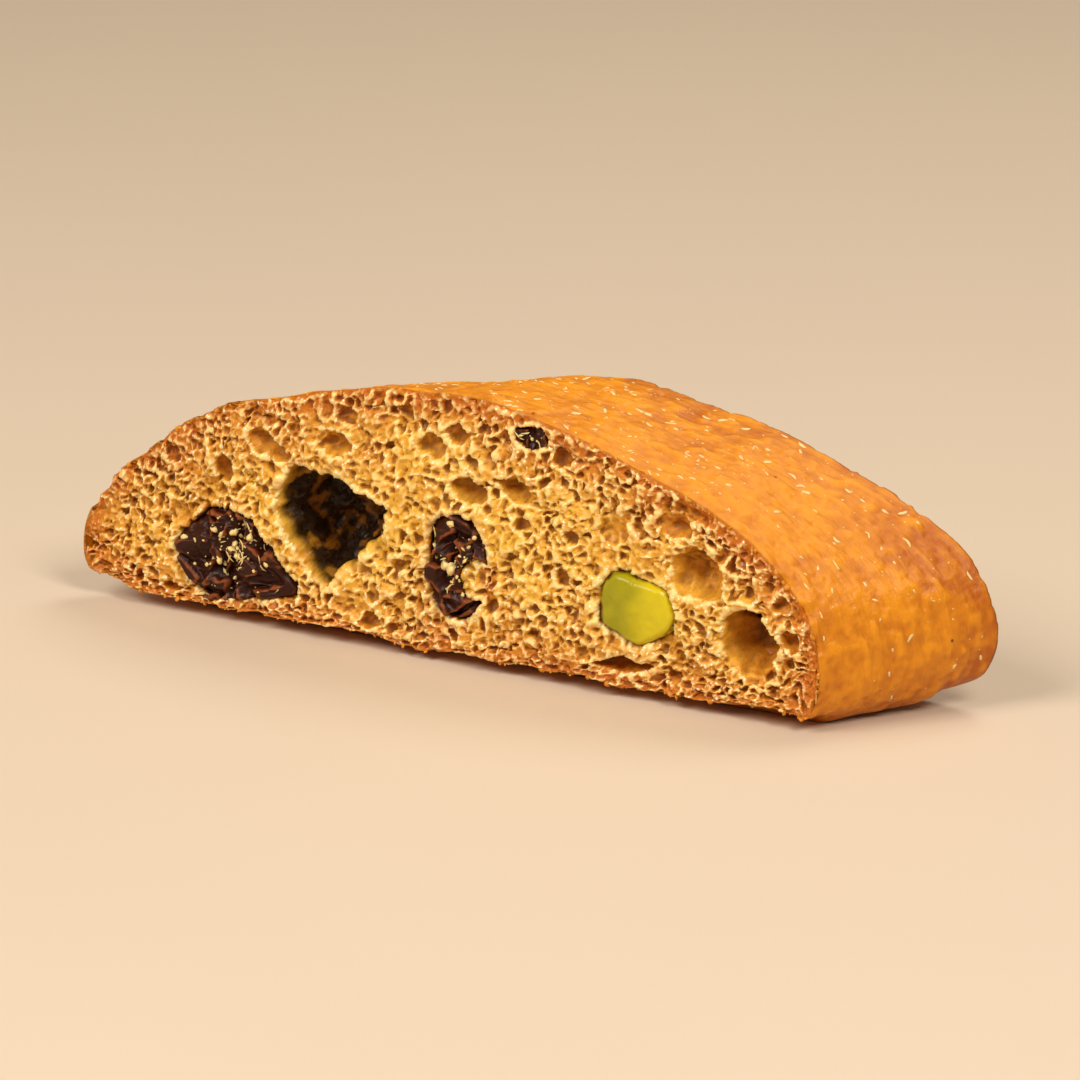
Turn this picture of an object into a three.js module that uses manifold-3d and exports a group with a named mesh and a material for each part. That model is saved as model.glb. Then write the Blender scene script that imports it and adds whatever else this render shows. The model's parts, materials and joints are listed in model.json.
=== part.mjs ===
// A slice of twice-baked biscuit (biscotti) with pistachios and dark chocolate, standing on its flat base.
// Millimetres, +Z up. X runs along the slice, the cut face with the large air pocket looks to -Y, and the
// origin is the middle of the base of the slice's box.
import * as THREE from 'three';
import { mergeVertices } from 'three/addons/utils/BufferGeometryUtils.js';
import Module from 'manifold-3d';

const wasm = await Module();
wasm.setup();

// Driving dimensions of the slice
const LENGTH = 86; // of a cut face, from nose to nose
const HEIGHT = 29.5; // at the crown
const THICKNESS = 16; // between the two cut faces
const CUT_SHIFT = 14; // how far the diagonal cut carries the back face to +X
const BACK_SHRINK = 0.03; // share by which the back face is smaller than the front one

// The loaf's cross-section: each side is a superellipse above its nose and a quarter ellipse below it.
// Heights of the noses and lengths of the lower corners are given at the front and at the back.
const RIGHT_SIDE = { across: 1.4, up: 2.4, nose: [6, 8], corner: [4, 9] };
const LEFT_SIDE = { across: 1.7, up: 2.0, nose: [5, 5], corner: [8.5, 8.5] };
const DOME_STEPS = 60;
const CORNER_STEPS = 6;
const BASE_STEPS = 14;
const DEPTH_STEPS = 6;

// Low unevenness of the crust, as three waves: size in mm, and wave lengths along X, Y and Z
const CRUST_WAVES = [
  { size: 0.26, along: 41, through: 90, up: 30, phase: 1.3 },
  { size: 0.15, along: 19, through: 26, up: 37, phase: 2.1 },
  { size: 0.09, along: 11, through: 13, up: 12, phase: 0.4 },
];
const BASE_FADE = 5; // height over which the unevenness grows from nothing at the flat base

const GAP = 0.35; // between a nut or a chunk and the pocket that it sits in
const FRONT = -THICKNESS / 2;
const BACK = THICKNESS / 2;

// What is baked into the dough: place on its face (across, up), half sizes (across, deep, up), how far
// its middle lies behind the face, its turn in the face in degrees, and how lumpy it is
const INCLUSIONS = [
  {
    name: 'chocolate_left', kind: 'chocolate', side: FRONT,
    at: [-25.4, 7.4], half: [7.3, 5.0, 5.2], inset: 1.4, turn: -8, lumps: 0.09,
  },
  {
    name: 'chocolate_middle', kind: 'chocolate', side: FRONT,
    at: [1.5, 10.8], half: [4.0, 4.2, 6.0], inset: 1.2, turn: 12, lumps: 0.12,
  },
  {
    name: 'chocolate_crown', kind: 'chocolate', side: FRONT,
    at: [10.0, 26.0], half: [2.1, 2.2, 1.3], inset: 0.3, turn: -14, lumps: 0.1,
  },
  {
    name: 'pistachio_front', kind: 'pistachio', side: FRONT,
    at: [22.3, 9.8], half: [4.7, 5.6, 4.0], inset: 0.9, turn: -14, lumps: 0.03,
  },
  {
    name: 'pistachio_back_left', kind: 'pistachio', side: BACK,
    at: [-10.6, 10.4], half: [6.0, 4.8, 3.9], inset: 0.9, turn: 16, lumps: 0.03,
  },
  {
    name: 'pistachio_back_right', kind: 'pistachio', side: BACK,
    at: [25.6, 10.4], half: [4.4, 5.2, 4.0], inset: 0.9, turn: -35, lumps: 0.03,
  },
  {
    name: 'chocolate_back', kind: 'chocolate', side: BACK,
    at: [9.0, 12.6], half: [4.8, 4.4, 5.6], inset: 1.1, turn: 24, lumps: 0.12,
  },
  {
    name: 'chocolate_back_small', kind: 'chocolate', side: BACK,
    at: [-21.2, 18.4], half: [2.6, 2.6, 2.0], inset: 0.4, turn: 10, lumps: 0.1,
  },
];

// Air pockets that show from a step away, given in the same way
const AIR_POCKETS = [
  { side: FRONT, at: [-13.2, 12.4], half: [7.2, 7.0, 6.4], inset: 1.4, turn: 20, lumps: 0.1, detail: 3 },
  { side: FRONT, at: [-17.0, 15.9], half: [2.8, 4.6, 2.7], inset: 0.6, turn: 0, lumps: 0.1 },
  { side: FRONT, at: [-9.4, 14.8], half: [2.5, 4.4, 2.1], inset: 0.6, turn: 10, lumps: 0.1 },
  { side: FRONT, at: [35.0, 8.4], half: [2.9, 4.6, 3.4], inset: 0.7, turn: 12, lumps: 0.06 },
  { side: FRONT, at: [28.9, 14.7], half: [3.1, 3.0, 2.4], inset: 0.4, turn: -22, lumps: 0.06 },
  { side: FRONT, at: [26.5, 19.2], half: [2.1, 1.9, 1.2], inset: 0.2, turn: -20, lumps: 0.06, detail: 1 },
  { side: FRONT, at: [21.0, 3.6], half: [3.6, 2.4, 1.0], inset: 0.3, turn: 4, lumps: 0.1, detail: 1 },
  { side: FRONT, at: [19.6, 17.9], half: [1.9, 1.2, 1.9], inset: 0.1, turn: 0, lumps: 0.06, detail: 1 },
  { side: FRONT, at: [2.6, 19.2], half: [2.2, 2.4, 1.7], inset: 0.4, turn: -12, lumps: 0.08, detail: 1 },
  { side: FRONT, at: [8.0, 20.4], half: [2.5, 2.0, 1.3], inset: 0.3, turn: -20, lumps: 0.08, detail: 1 },
  { side: FRONT, at: [-20.6, 20.4], half: [2.1, 2.0, 1.4], inset: 0.3, turn: -24, lumps: 0.08, detail: 1 },
  { side: FRONT, at: [-12.7, 21.7], half: [2.0, 1.6, 1.4], inset: 0.2, turn: 0, lumps: 0.08, detail: 1 },
  { side: BACK, at: [-32.5, 8.6], half: [3.2, 3.6, 2.7], inset: 0.5, turn: 12, lumps: 0.08 },
  { side: BACK, at: [17.4, 19.0], half: [3.0, 3.4, 2.2], inset: 0.5, turn: -18, lumps: 0.08 },
  { side: BACK, at: [-22.0, 7.0], half: [2.9, 3.4, 2.1], inset: 0.4, turn: 8, lumps: 0.1 },
  { side: BACK, at: [-2.6, 21.4], half: [2.7, 2.6, 1.7], inset: 0.3, turn: 12, lumps: 0.08, detail: 1 },
  { side: BACK, at: [34.6, 9.6], half: [2.2, 2.8, 2.6], inset: 0.3, turn: 0, lumps: 0.08, detail: 1 },
  { side: BACK, at: [17.0, 4.2], half: [3.0, 2.2, 1.1], inset: 0.3, turn: 4, lumps: 0.1, detail: 1 },
];

// The open crumb between them: small bubbles scattered by a seeded rule over both cut faces. Sizes are
// half widths; many are small and few are large. Below coarse they have few faces.
const CRUMB = {
  seed: 11,
  tries: 4000,
  smallest: 0.55,
  largest: 1.5,
  bias: 1.8,
  between: 0.3,
  rim: 0.9,
  flattest: 0.75,
  coarse: 0.85,
};
const CRUMB_COUNTS = [[FRONT, 70], [BACK, 54]];

// Finishes
const BAKED_DOUGH = new THREE.MeshStandardMaterial({ color: 0xd0862f, roughness: 0.75, metalness: 0 });
const PISTACHIO = new THREE.MeshStandardMaterial({ color: 0xb3b53c, roughness: 0.5, metalness: 0 });
const CHOCOLATE = new THREE.MeshStandardMaterial({ color: 0x32170f, roughness: 0.5, metalness: 0 });
const FINISHES = { pistachio: PISTACHIO, chocolate: CHOCOLATE };

// A seeded stream of numbers from 0 to 1
function randomFrom(seed) {
  let state = seed;
  return () => {
    state = (state + 0x6d2b79f5) | 0;
    let mixed = Math.imul(state ^ (state >>> 15), 1 | state);
    mixed = (mixed + Math.imul(mixed ^ (mixed >>> 7), 61 | mixed)) ^ mixed;
    return ((mixed ^ (mixed >>> 14)) >>> 0) / 4294967296;
  };
}

// How far the crust stands out at a place, in mm
function crustSwell(x, y, z) {
  let swell = 0;
  for (const wave of CRUST_WAVES) {
    const turns = x / wave.along + y / wave.through + z / wave.up;
    swell += wave.size * Math.sin(2 * Math.PI * turns + wave.phase);
  }
  return swell;
}

// One side of the cross-section at a depth, which runs from 0 at the front face to 1 at the back face
function sideAt(side, depth) {
  return {
    ...side,
    nose: THREE.MathUtils.lerp(side.nose[0], side.nose[1], depth),
    corner: THREE.MathUtils.lerp(side.corner[0], side.corner[1], depth),
  };
}

// The outline of the loaf as points (x, z) from the right nose over the crown and back along the base
function loafOutline(depth) {
  const shrink = 1 - BACK_SHRINK * depth;
  const reach = (LENGTH / 2) * shrink;
  const points = [];
  const left = sideAt(LEFT_SIDE, depth);
  const right = sideAt(RIGHT_SIDE, depth);
  for (let step = 0; step < DOME_STEPS; step += 1) {
    const angle = (Math.PI * step) / DOME_STEPS;
    const across = Math.cos(angle);
    const side = across >= 0 ? right : left;
    const rise = HEIGHT * shrink - side.nose;
    const x = Math.sign(across) * reach * Math.abs(across) ** (2 / side.across);
    points.push([x, side.nose + rise * Math.sin(angle) ** (2 / side.up)]);
  }
  for (let step = 0; step < CORNER_STEPS; step += 1) {
    const angle = (Math.PI * step) / CORNER_STEPS / 2;
    const x = -reach + left.corner * (1 - Math.cos(angle));
    points.push([x, left.nose * (1 - Math.sin(angle))]);
  }
  const baseStart = -reach + left.corner;
  const baseEnd = reach - right.corner;
  for (let step = 0; step < BASE_STEPS; step += 1) {
    points.push([THREE.MathUtils.lerp(baseStart, baseEnd, step / BASE_STEPS), 0]);
  }
  for (let step = 0; step < CORNER_STEPS; step += 1) {
    const angle = (Math.PI * step) / CORNER_STEPS / 2;
    const x = baseEnd + right.corner * Math.sin(angle);
    points.push([x, right.nose * (1 - Math.cos(angle))]);
  }
  return points;
}

// The outline with the crust's unevenness, which fades out towards the flat base
function crustRing(depth) {
  const outline = loafOutline(depth);
  const y = THREE.MathUtils.lerp(FRONT, BACK, depth);
  return outline.map(([x, z], index) => {
    const before = outline[(index + outline.length - 1) % outline.length];
    const after = outline[(index + 1) % outline.length];
    const outward = new THREE.Vector2(after[1] - before[1], before[0] - after[0]).normalize();
    const swell = crustSwell(x, y, z) * THREE.MathUtils.smoothstep(z, 0, BASE_FADE);
    return [x + CUT_SHIFT * (depth - 0.5) + outward.x * swell, y, z + outward.y * swell];
  });
}

// The whole slice without its pockets: rings of crust from face to face, closed by two flat cut faces
function loafSlice() {
  const positions = [];
  const faces = [];
  const count = crustRing(0).length;
  for (let row = 0; row <= DEPTH_STEPS; row += 1) {
    positions.push(...crustRing(row / DEPTH_STEPS).flat());
  }
  for (let row = 0; row < DEPTH_STEPS; row += 1) {
    for (let step = 0; step < count; step += 1) {
      const near = row * count + step;
      const nearNext = row * count + ((step + 1) % count);
      faces.push(near, near + count, nearNext, nearNext, near + count, nearNext + count);
    }
  }
  const backStart = DEPTH_STEPS * count;
  for (let step = 1; step < count - 1; step += 1) {
    faces.push(0, step, step + 1);
    faces.push(backStart, backStart + step + 1, backStart + step);
  }
  const geometry = new THREE.BufferGeometry();
  geometry.setAttribute('position', new THREE.Float32BufferAttribute(positions, 3));
  geometry.setIndex(faces);
  return solidFrom(geometry);
}

// A closed geometry as a solid that can be joined and cut
function solidFrom(geometry) {
  const bare = geometry.clone();
  bare.deleteAttribute('normal');
  bare.deleteAttribute('uv');
  const merged = mergeVertices(bare, 1e-4);
  const triVerts = new Uint32Array(merged.index.array);
  return new wasm.Manifold(
    new wasm.Mesh({ numProp: 3, vertProperties: merged.attributes.position.array, triVerts }),
  );
}

// A solid as a geometry with flat faces
function geometryFrom(solid) {
  const mesh = solid.getMesh();
  const geometry = new THREE.BufferGeometry();
  geometry.setAttribute('position', new THREE.Float32BufferAttribute(mesh.vertProperties, mesh.numProp));
  geometry.setIndex(Array.from(mesh.triVerts));
  const flat = geometry.toNonIndexed();
  flat.computeVertexNormals();
  return flat;
}

// A lumpy ball fitted to its half sizes, turned in the plane of its face and set into it. grow widens it
// all round, as for the pocket of a nut.
function lump({ side, at, half, inset, turn, lumps, detail = 2 }, grow = 0) {
  const geometry = new THREE.IcosahedronGeometry(1, detail);
  const position = geometry.attributes.position;
  const point = new THREE.Vector3();
  const middle = new THREE.Vector3(faceX(side, at[0]), side - Math.sign(side) * inset, at[1]);
  const spin = new THREE.Matrix4().makeRotationY(-THREE.MathUtils.degToRad(turn));
  for (let index = 0; index < position.count; index += 1) {
    point.fromBufferAttribute(position, index).normalize();
    const level = Math.sin(4.1 * point.x + at[0]) + Math.sin(4.7 * point.y + at[1]);
    const waves = level + Math.sin(5.3 * point.z + 2);
    const swell = 1 + (lumps * waves) / 2;
    point.multiplyScalar(swell);
    point.set(point.x * (half[0] + grow), point.y * (half[1] + grow), point.z * (half[2] + grow));
    point.applyMatrix4(spin).add(middle);
    position.setXYZ(index, point.x, point.y, point.z);
  }
  return solidFrom(geometry);
}

// A place measured across a cut face, as the slice's X: the diagonal cut shifts the two faces apart
function faceX(side, across) {
  return across + (CUT_SHIFT * side) / THICKNESS;
}

// The space between the two cut faces, to trim a nut or a chunk level with the cut
function betweenCuts() {
  return solidFrom(new THREE.BoxGeometry(3 * LENGTH, THICKNESS, 3 * LENGTH));
}

// Whether a place on a face lies inside the loaf's outline, and further than rim from it
function insideRim(side, across, up, rim) {
  const outline = loafOutline(side < 0 ? 0 : 1);
  const place = new THREE.Vector3(across, 0, up);
  const edge = new THREE.Line3();
  const closest = new THREE.Vector3();
  let crossings = 0;
  for (let index = 0; index < outline.length; index += 1) {
    const [x0, z0] = outline[index];
    const [x1, z1] = outline[(index + 1) % outline.length];
    edge.start.set(x0, 0, z0);
    edge.end.set(x1, 0, z1);
    if (edge.closestPointToPoint(place, true, closest).distanceTo(place) < rim) return false;
    if (z0 > up !== z1 > up && across < x0 + ((up - z0) * (x1 - x0)) / (z1 - z0)) crossings += 1;
  }
  return crossings % 2 === 1;
}

// The scattered bubbles of one face: each keeps clear of the rim, of what is baked in and of the others
function crumbBubbles(side, count, random) {
  const taken = [...INCLUSIONS, ...AIR_POCKETS]
    .filter((thing) => thing.side === side)
    .map(({ at, half }) => ({ at, across: half[0], up: half[2] }));
  const bubbles = [];
  for (let tries = 0; tries < CRUMB.tries && bubbles.length < count; tries += 1) {
    const size = THREE.MathUtils.lerp(CRUMB.smallest, CRUMB.largest, random() ** CRUMB.bias);
    const at = [(random() - 0.5) * LENGTH, random() * HEIGHT];
    const flat = THREE.MathUtils.lerp(CRUMB.flattest, 1, random());
    const turn = 180 * random();
    const clear = taken.every((other) => {
      const across = (at[0] - other.at[0]) / (other.across + size + CRUMB.between);
      const up = (at[1] - other.at[1]) / (other.up + size + CRUMB.between);
      return Math.hypot(across, up) > 1;
    });
    if (!clear || !insideRim(side, at[0], at[1], size + CRUMB.rim)) continue;
    taken.push({ at, across: size, up: size });
    const half = [size, size * 1.1, size * flat];
    const detail = size > CRUMB.coarse ? 1 : 0;
    bubbles.push({ side, at, half, inset: size * 0.25, turn, lumps: 0.08, detail });
  }
  return bubbles;
}

function namedMesh(name, solid, finish) {
  const mesh = new THREE.Mesh(geometryFrom(solid), finish);
  mesh.name = name;
  return mesh;
}

const random = randomFrom(CRUMB.seed);
const bubbles = CRUMB_COUNTS.flatMap(([side, count]) => crumbBubbles(side, count, random));
const pockets = [
  ...INCLUSIONS.map((thing) => lump(thing, GAP)),
  ...AIR_POCKETS.map((pocket) => lump(pocket)),
  ...bubbles.map((bubble) => lump(bubble)),
];
const hollows = wasm.Manifold.union(pockets);
const dough = loafSlice().subtract(hollows);

const biscotti = new THREE.Group();
biscotti.add(namedMesh('biscuit', dough, BAKED_DOUGH));
for (const thing of INCLUSIONS) {
  biscotti.add(namedMesh(thing.name, lump(thing).intersect(betweenCuts()), FINISHES[thing.kind]));
}

// The crust's unevenness moves the ends by a fraction of a millimetre, so the slice is centred as made
const box = new THREE.Box3().setFromObject(biscotti);
biscotti.position.set(-(box.min.x + box.max.x) / 2, -(box.min.y + box.max.y) / 2, -box.min.z);

export default biscotti;
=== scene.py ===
"""A slice of biscotti with pistachios and dark chocolate, dressed for a close look.

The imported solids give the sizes. The open crumb of both cut faces, the browned crust between them, the nuts,
the chocolate and the loose bits that cling to them are surfaces worked out with numpy, in millimetres, and
put into meshes in metres.
"""

import functools
import itertools
import json
import math

import bpy
import numpy as np
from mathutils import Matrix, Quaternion, Vector

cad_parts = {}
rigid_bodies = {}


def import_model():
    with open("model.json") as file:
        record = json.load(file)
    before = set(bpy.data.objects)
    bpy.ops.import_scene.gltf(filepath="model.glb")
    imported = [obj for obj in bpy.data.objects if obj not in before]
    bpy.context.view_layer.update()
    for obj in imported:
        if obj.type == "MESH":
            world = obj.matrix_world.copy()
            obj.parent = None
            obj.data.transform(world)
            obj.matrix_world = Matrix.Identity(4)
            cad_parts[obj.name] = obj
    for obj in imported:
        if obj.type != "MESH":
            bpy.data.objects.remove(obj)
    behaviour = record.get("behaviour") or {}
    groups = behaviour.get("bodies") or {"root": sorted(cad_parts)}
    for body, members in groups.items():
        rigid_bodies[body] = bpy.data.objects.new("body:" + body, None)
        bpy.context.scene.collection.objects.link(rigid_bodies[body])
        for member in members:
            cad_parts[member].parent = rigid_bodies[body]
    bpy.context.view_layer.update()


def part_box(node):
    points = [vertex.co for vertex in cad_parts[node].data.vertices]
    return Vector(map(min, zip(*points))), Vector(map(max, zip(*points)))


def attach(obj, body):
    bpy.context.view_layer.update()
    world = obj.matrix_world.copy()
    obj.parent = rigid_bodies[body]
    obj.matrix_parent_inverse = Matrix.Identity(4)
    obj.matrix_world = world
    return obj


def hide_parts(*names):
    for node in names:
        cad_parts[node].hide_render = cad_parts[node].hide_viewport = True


bl_info = {
    "name": "Biscotti slice",
    "version": (1, 0, 0),
    "blender": (4, 5, 0),
    "location": "View3D > Sidebar > Biscotti",
    "description": "Open crumb, browned crust, pistachios and dark chocolate of one slice of biscotti",
    "category": "Add Mesh",
}

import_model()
MM = 0.001

# Driving sizes of the slice in millimetres, as the solids have them
LENGTH = 86.0
HEIGHT = 29.5
THICKNESS = 16.0
CUT_SHIFT = 14.0
BACK_SHRINK = 0.03
FRONT = -THICKNESS / 2
BACK = THICKNESS / 2

# Each side of the section: how full its dome is across and up, and the height of its nose and the length of
# its lower corner, at the front cut and at the back one
RIGHT_SIDE = {"across": 1.4, "up": 2.4, "nose": (6.0, 8.0), "corner": (4.0, 9.0)}
LEFT_SIDE = {"across": 1.7, "up": 2.0, "nose": (5.0, 5.0), "corner": (8.5, 8.5)}

# Steps of the solid's outline over the dome, round each corner and along the base
DOME_STEPS = 60
CORNER_STEPS = 6
BASE_STEPS = 14

# Waves of the crust: size, then wave lengths along X, Y and Z, and phase; and the height over which they
# fade out towards the base
CRUST_WAVES = (
    (0.26, 41.0, 90.0, 30.0, 1.3),
    (0.15, 19.0, 26.0, 37.0, 2.1),
    (0.09, 11.0, 13.0, 12.0, 0.4),
)
BASE_FADE = 5.0

# What is baked in: place on its face (across, up), half sizes (across, deep, up), how far its middle lies
# behind the face, its turn in the face in degrees, and how lumpy it is
INCLUSIONS = {
    "chocolate_left": (FRONT, (-25.4, 7.4), (7.3, 5.0, 5.2), 1.4, -8, 0.09),
    "chocolate_middle": (FRONT, (1.5, 10.8), (4.0, 4.2, 6.0), 1.2, 12, 0.12),
    "chocolate_crown": (FRONT, (10.0, 26.0), (2.1, 2.2, 1.3), 0.3, -14, 0.1),
    "pistachio_front": (FRONT, (22.3, 9.8), (4.7, 5.6, 4.0), 0.9, -14, 0.03),
    "pistachio_back_left": (BACK, (-10.6, 10.4), (6.0, 4.8, 3.9), 0.9, 16, 0.03),
    "pistachio_back_right": (BACK, (25.6, 10.4), (4.4, 5.2, 4.0), 0.9, -35, 0.03),
    "chocolate_back": (BACK, (9.0, 12.6), (4.8, 4.4, 5.6), 1.1, 24, 0.12),
    "chocolate_back_small": (BACK, (-21.2, 18.4), (2.6, 2.6, 2.0), 0.4, 10, 0.1),
}
AIR_POCKETS = (
    (FRONT, (-13.2, 12.4), (7.2, 7.0, 6.4), 1.4, 20, 0.1),
    (FRONT, (-17.0, 15.9), (2.8, 4.6, 2.7), 0.6, 0, 0.1),
    (FRONT, (-9.4, 14.8), (2.5, 4.4, 2.1), 0.6, 10, 0.1),
    (FRONT, (35.0, 8.4), (2.9, 4.6, 3.4), 0.7, 12, 0.06),
    (FRONT, (28.9, 14.7), (3.1, 3.0, 2.4), 0.4, -22, 0.06),
    (FRONT, (26.5, 19.2), (2.1, 1.9, 1.2), 0.2, -20, 0.06),
    (FRONT, (21.0, 3.6), (3.6, 2.4, 1.0), 0.3, 4, 0.1),
    (FRONT, (19.6, 17.9), (1.9, 1.2, 1.9), 0.1, 0, 0.06),
    (FRONT, (2.6, 19.2), (2.2, 2.4, 1.7), 0.4, -12, 0.08),
    (FRONT, (8.0, 20.4), (2.5, 2.0, 1.3), 0.3, -20, 0.08),
    (FRONT, (-20.6, 20.4), (2.1, 2.0, 1.4), 0.3, -24, 0.08),
    (FRONT, (-12.7, 21.7), (2.0, 1.6, 1.4), 0.2, 0, 0.08),
    (BACK, (-32.5, 8.6), (3.2, 3.6, 2.7), 0.5, 12, 0.08),
    (BACK, (17.4, 19.0), (3.0, 3.4, 2.2), 0.5, -18, 0.08),
    (BACK, (-22.0, 7.0), (2.9, 3.4, 2.1), 0.4, 8, 0.1),
    (BACK, (-2.6, 21.4), (2.7, 2.6, 1.7), 0.3, 12, 0.08),
    (BACK, (34.6, 9.6), (2.2, 2.8, 2.6), 0.3, 0, 0.08),
    (BACK, (17.0, 4.2), (3.0, 2.2, 1.1), 0.3, 4, 0.1),
)
# Hollows at the far ends of two air pockets, which only show as dark places
DEEP_POCKETS = (
    (FRONT, (-12.0, 13.6), (3.0, 3.4, 2.6), 6.6, 10, 0.1),
    (FRONT, (-9.6, 9.0), (2.6, 3.2, 2.0), 5.6, -20, 0.1),
    (FRONT, (35.2, 10.5), (2.2, 3.6, 1.5), 4.4, 0, 0.06),
)
# How deep the crumb may open behind each cut
DEEPEST = {FRONT: 9.6, BACK: 5.4}

# Bubbles scattered over both faces: their stream's seed, the tries for a free place, the least and the
# greatest radius, how far small ones prevail, the room to a neighbour and to the rim, and how flat the
# flattest is; then how many there are on each face
SCATTER = {
    "seed": 11,
    "tries": 4000,
    "smallest": 0.55,
    "largest": 1.5,
    "bias": 1.8,
    "between": 0.3,
    "rim": 0.9,
    "flattest": 0.75,
}
SCATTER_COUNTS = ((FRONT, 70), (BACK, 54))

# The fine foam between the air pockets: size of its cells, half thickness of their walls, depth of the
# deepest cell and the share of cells that are shut
FOAM = (
    (3.9, 0.3, 1.4, 0.62),
    (1.9, 0.1, 0.9, 0.55),
    (0.95, 0.02, 0.95, 0.3),
    (0.5, 0.0, 0.3, 0.35),
)

# Where a tongue of crumb covers part of a chunk: its middle from the chunk's, and its half width
TONGUES = {"chocolate_middle": ((2.8, -1.2), 2.3), "chocolate_back": ((-3.4, 1.6), 1.7)}

# How far the hollows' outlines wander: size, wave length and seed
CURLS = ((0.55, 3.2, 27), (0.34, 1.5, 21), (0.2, 0.7, 31))

# Height of the lip of crumb round a nut, and how far the edges of the base lie above the floor
LIP = 0.14
BASE_LIFT = 1.9

# The crumb's greatest depth as a share of the distance from its rim, and how often its grid is evened out
RIM_DEPTH_SHARE = 0.9
RELAX_PASSES = 24

# The inside of the crust: how far behind each cut it starts, and how a ring is drawn in along X, Y and Z,
# towards which height
CRUST_INSET = 2.2
UNDER_CRUST = (0.945, 1, 0.87)
UNDER_CRUST_HEIGHT = 12.0

# The crust's map is in units of this many millimetres
CHART_UNIT = 100.0

# Threads that stand out of the torn crumb: their height, how far apart they run, seed and shift
THREADS = ((0.22, 1.5, 231, 0.0), (0.16, 0.85, 233, 40.0))

# The chunks of chocolate: how many facets, how rough, how fine; how many crumbs cling, the largest's size
# and where most of them gather
CHUNKS = (
    ("chocolate_left", 40, 1.0, 1.0, 110, 0.42, (1.6, 1.6)),
    ("chocolate_middle", 26, 1.1, 0.9, 70, 0.42, (1.2, 0.4)),
    ("chocolate_crown", 9, 0.7, 0.5, 10, 0.3, (0.0, 0.0)),
    ("chocolate_back", 28, 1.0, 0.9, 70, 0.42, (-1.5, 1.5)),
    ("chocolate_back_small", 11, 0.7, 0.5, 14, 0.35, (0.5, 0.0)),
)

# Share of slender flakes among the crumbs on the chocolate
FLAKE_SHARE = 0.22

# The crease along the front of each kernel: its place as a share of the kernel's half width, its height
# above the cut and the fall to each side
CREASES = {
    "pistachio_front": (-0.18, 0.72, 0.62),
    "pistachio_back_left": (0.1, 0.2, 0.25),
    "pistachio_back_right": (0.0, 0.3, 0.35),
}

# Outlines of nuts, chunks and the large air pocket on their face: the sides of a polygon with rounded
# corners, each as the way it faces in degrees and its distance from the middle; then how sharp the corners
# are
OUTLINES = {
    "air_pocket": (
        ((178, 6.8), (140, 6.9), (75, 5.4), (0, 5.9), (-39, 3.8), (-100, 6.4), (-148, 5.4)),
        10,
    ),
    "chocolate_left": (
        ((180, 6.8), (131, 5.3), (86, 5.0), (42, 4.7), (-22, 9.2), (-78, 5.0), (-142, 5.6)),
        11,
    ),
    "chocolate_middle": (
        ((178, 3.3), (112, 5.6), (58, 4.9), (8, 3.7), (-38, 4.6), (-92, 5.6), (-146, 4.4)),
        11,
    ),
    "chocolate_crown": (
        ((180, 1.9), (98, 1.1), (24, 1.8), (-64, 1.2), (-128, 1.4)),
        9,
    ),
    "pistachio_front": (
        ((181, 4.25), (80, 3.4), (28, 4.3), (-14, 4.5), (-58, 3.75), (-112, 3.5), (139, 4.6)),
        13,
    ),
    "pistachio_back_left": (
        ((196, 5.4), (140, 4.4), (106, 3.7), (48, 4.3), (12, 5.5), (-48, 4.4), (-92, 3.7)),
        7,
    ),
    "pistachio_back_right": (
        ((145, 4.1), (92, 3.9), (52, 3.8), (-4, 4.0), (-44, 4.2), (-118, 3.9), (-160, 4.0)),
        7,
    ),
    "chocolate_back": (
        ((170, 4.4), (118, 5.5), (62, 5.0), (6, 4.6), (-40, 4.8), (-84, 5.2), (-140, 4.9)),
        11,
    ),
    "chocolate_back_small": (
        ((184, 2.4), (100, 1.9), (30, 2.2), (-34, 2.1), (-100, 1.9)),
        9,
    ),
}

# The studio in metres: each light's name, place, size and colour; the room's colour; half the floor's side;
# and what the camera looks at
LIGHTS = (
    ("key", (0.38, -0.24, 0.48), 0.22, "#FFF8EE"),
    ("top", (0.08, 0.26, 0.5), 0.26, "#FFF8EE"),
    ("fill", (-0.22, -0.44, 0.47), 0.3, "#FFF6EA"),
)
ROOM_COLOUR = "#F8E6D0"
FLOOR_REACH = 2.5
TARGET = (0.001, 0, 0.0125)

# Width of the camera's sensor in millimetres
SENSOR = 36.0


def linear(hex_colour):
    """An sRGB hex value as linear red, green and blue."""
    parts = [int(hex_colour[i : i + 2], 16) / 255 for i in (1, 3, 5)]
    return tuple(p / 12.92 if p <= 0.04045 else ((p + 0.055) / 1.055) ** 2.4 for p in parts)


class BiscottiSizes(bpy.types.PropertyGroup):
    """Fineness and roughness of the baked dough"""

    face_columns: bpy.props.IntProperty(
        name="Face columns", description="Columns of the grid on a cut face", default=575, min=80
    )
    face_rows: bpy.props.IntProperty(
        name="Face rows", description="Rows of the grid on a cut face", default=160, min=20
    )
    crust_rows: bpy.props.IntProperty(
        name="Crust rows", description="Rows of the crust's grid from face to face", default=80, min=8
    )
    tear: bpy.props.FloatProperty(
        name="Tear",
        description="How far the crumb stands out of the cut, in millimetres",
        default=0.2,
        min=0.0,
    )
    chip: bpy.props.FloatProperty(
        name="Chip", description="Deepest chip out of the crust's edge, in millimetres", default=0.75, min=0.0
    )
    crust_bits: bpy.props.IntProperty(
        name="Crust bits", description="Pale bits that stick to the crust", default=620, min=0
    )


def colour_property(name, description, hex_colour):
    return bpy.props.FloatVectorProperty(
        name=name,
        description=description,
        default=linear(hex_colour),
        subtype="COLOR",
        size=3,
        min=0.0,
        max=1.0,
    )


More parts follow.
